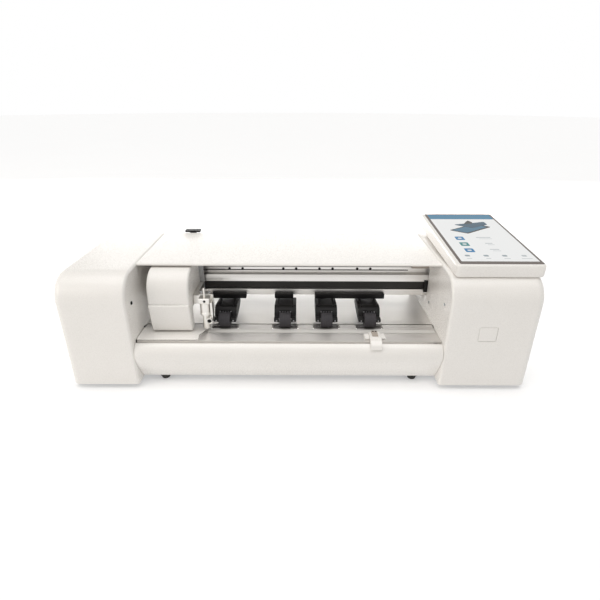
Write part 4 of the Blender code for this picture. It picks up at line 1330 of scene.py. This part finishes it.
# %% Paint the working solids
stays = [
    (platen_aluminium, ["platen"]),
    (sheet_aluminium, ["rear_platen"]),
    (strip_tape, ["cutting_strip"]),
    (belt_rubber, ["carriage_belt", "feed_belt"]),
    (zinc_steel, ["base_plate", "left_frame", "right_frame"]),
    (zinc_steel, ["idler_bracket", "carriage_plate", "slide_block"]),
    (ground_steel, ["left_bearing", "right_bearing"]),
    (ground_steel, ["belt_drive_pulley", "belt_idler_pulley", "feed_motor_pulley"]),
    (black_nylon, ["carriage_motor", "feed_motor", "tool_solenoid", "shaft_pulley", "release_lever"]),
    (black_nylon, ["power_inlet", "switch_housing", "power_rocker"]),
    (solder_mask, ["main_board"]),
]
for finish, names in stays:
    for name in names:
        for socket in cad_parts[name].material_slots:
            socket.material = finish
painted = {name for finish, names in stays for name in names}
left_over = [name for name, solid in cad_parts.items() if not solid.hide_render and name not in painted]
print(len(painted), "working solids painted, left over:", left_over)

# %% [markdown]
# ## Floor, light and camera
#
# The machine stands on a light table: white acrylic, lit a little from below, which keeps the shadows under
# it soft and pale. A lit ceiling, wide and even, makes level surfaces the brightest and lets upright ones
# fall off to a soft warm grey. It is a sun lamp 60 degrees across, because that lights the table evenly to
# its far edge. A softbox on the left reaches in under the beam, and one behind shines in through the media
# slot. Polished things mirror a brighter room than the one that lights them, as they do between studio flats,
# and to the camera the sky is plain white, so the table has no visible end.

# %% Floor
acrylic, tree, shader = new_finish("light_table_acrylic", "")
wire(
    tree,
    shader,
    Base_Color=blend_colours(tree, grain(tree, 300.0), "#dadada", "#dddddd"),
    Roughness=spread_between(tree, grain(tree, 2.0), 0.85, 0.95),
)
shader.inputs["Specular IOR Level"].default_value = 0.1
shader.inputs["Emission Color"].default_value = linear("#ffffff")
shader.inputs["Emission Strength"].default_value = 0.33
floor_mesh = bpy.data.meshes.new("studio_floor")
spread = 8.0
floor_work = bmesh.new()
bmesh.ops.create_circle(floor_work, cap_ends=True, segments=64, radius=spread)
floor_work.to_mesh(floor_mesh)
floor_work.free()
floor_mesh.materials.append(acrylic)
floor = bpy.data.objects.new("studio_floor", floor_mesh)
floor.location.z = cad_box[0][2]
bpy.context.scene.collection.objects.link(floor)
print("floor at", round(floor.location.z, 4), "m")

# %% Light
world = bpy.data.worlds.new("studio")
bpy.context.scene.world = world
world.use_nodes = True
tree = world.node_tree
SKY_STRENGTH = 0.33
MIRRORED_STRENGTH = 0.85
rays = node(tree, "LightPath")
seen = node(tree, "Background", [("Color", linear("#ffffff")), ("Strength", 1.0)])
mirrored = node(tree, "Background", [("Color", linear("#fffdfa")), ("Strength", MIRRORED_STRENGTH)])
lit = node(tree, "Background", [("Color", linear("#fffdfa")), ("Strength", SKY_STRENGTH)])
for ray, background in (("Is Glossy Ray", mirrored), ("Is Camera Ray", seen)):
    choice = [(0, rays.outputs[ray]), (1, lit.outputs[0]), (2, background.outputs[0])]
    lit = node(tree, "MixShader", choice)
tree.links.new(lit.outputs[0], tree.nodes["World Output"].inputs["Surface"])


def softbox(name, place, aim, width, depth, power, colour="#ffffff"):
    """A rectangular lamp at place, facing aim, in metres and watts."""
    lamp = bpy.data.lights.new(name, "AREA")
    lamp.shape = "RECTANGLE"
    lamp.size, lamp.size_y = width, depth
    lamp.energy = power
    lamp.color = linear(colour)[:3]
    box_object = bpy.data.objects.new(name, lamp)
    box_object.location = place
    box_object.rotation_euler = (Vector(aim) - Vector(place)).to_track_quat("-Z", "Y").to_euler()
    bpy.context.scene.collection.objects.link(box_object)
    return box_object


softbox("left_softbox", (-1.6, -0.9, 0.9), (0.1, 0.0, 0.05), 1.2, 1.0, 10.5, "#fff8f0")

behind = softbox("rear_softbox", (0.0, 1.3, 0.17), (0.0, 0.0, 0.06), 1.8, 0.28, 22.0)
behind.visible_camera = False

ceiling_light = bpy.data.lights.new("ceiling_light", "SUN")
ceiling_light.energy = 1.72
ceiling_light.angle = math.radians(60.0)
ceiling = bpy.data.objects.new("ceiling_light", ceiling_light)
ceiling.rotation_euler = (math.radians(4.0), 0.0, 0.0)
bpy.context.scene.collection.objects.link(ceiling)
print("sky", SKY_STRENGTH, "ceiling", ceiling_light.energy)

# %% [markdown]
# The camera stands half a metre in front, a little above the machine's top, and looks down on it. A phone's
# main lens is close to 26 mm on full frame, and that wide angle is why the casings seem to lean apart.

# %% Camera
lens = bpy.data.cameras.new("camera")
lens.lens = 26.43
lens.sensor_width = 36.0
camera = bpy.data.objects.new("camera", lens)
PITCH, ROLL = 25.19, 0.197
camera.matrix_world = (
    Matrix.Translation((0.00077, -0.52541, 0.32134))
    @ Matrix.Rotation(math.radians(90.0 - PITCH), 4, "X")
    @ Matrix.Rotation(math.radians(ROLL), 4, "Z")
)
bpy.context.scene.collection.objects.link(camera)
bpy.context.scene.camera = camera
bpy.context.scene.view_settings.view_transform = "Standard"
print("camera", [round(value, 3) for value in camera.matrix_world.translation])
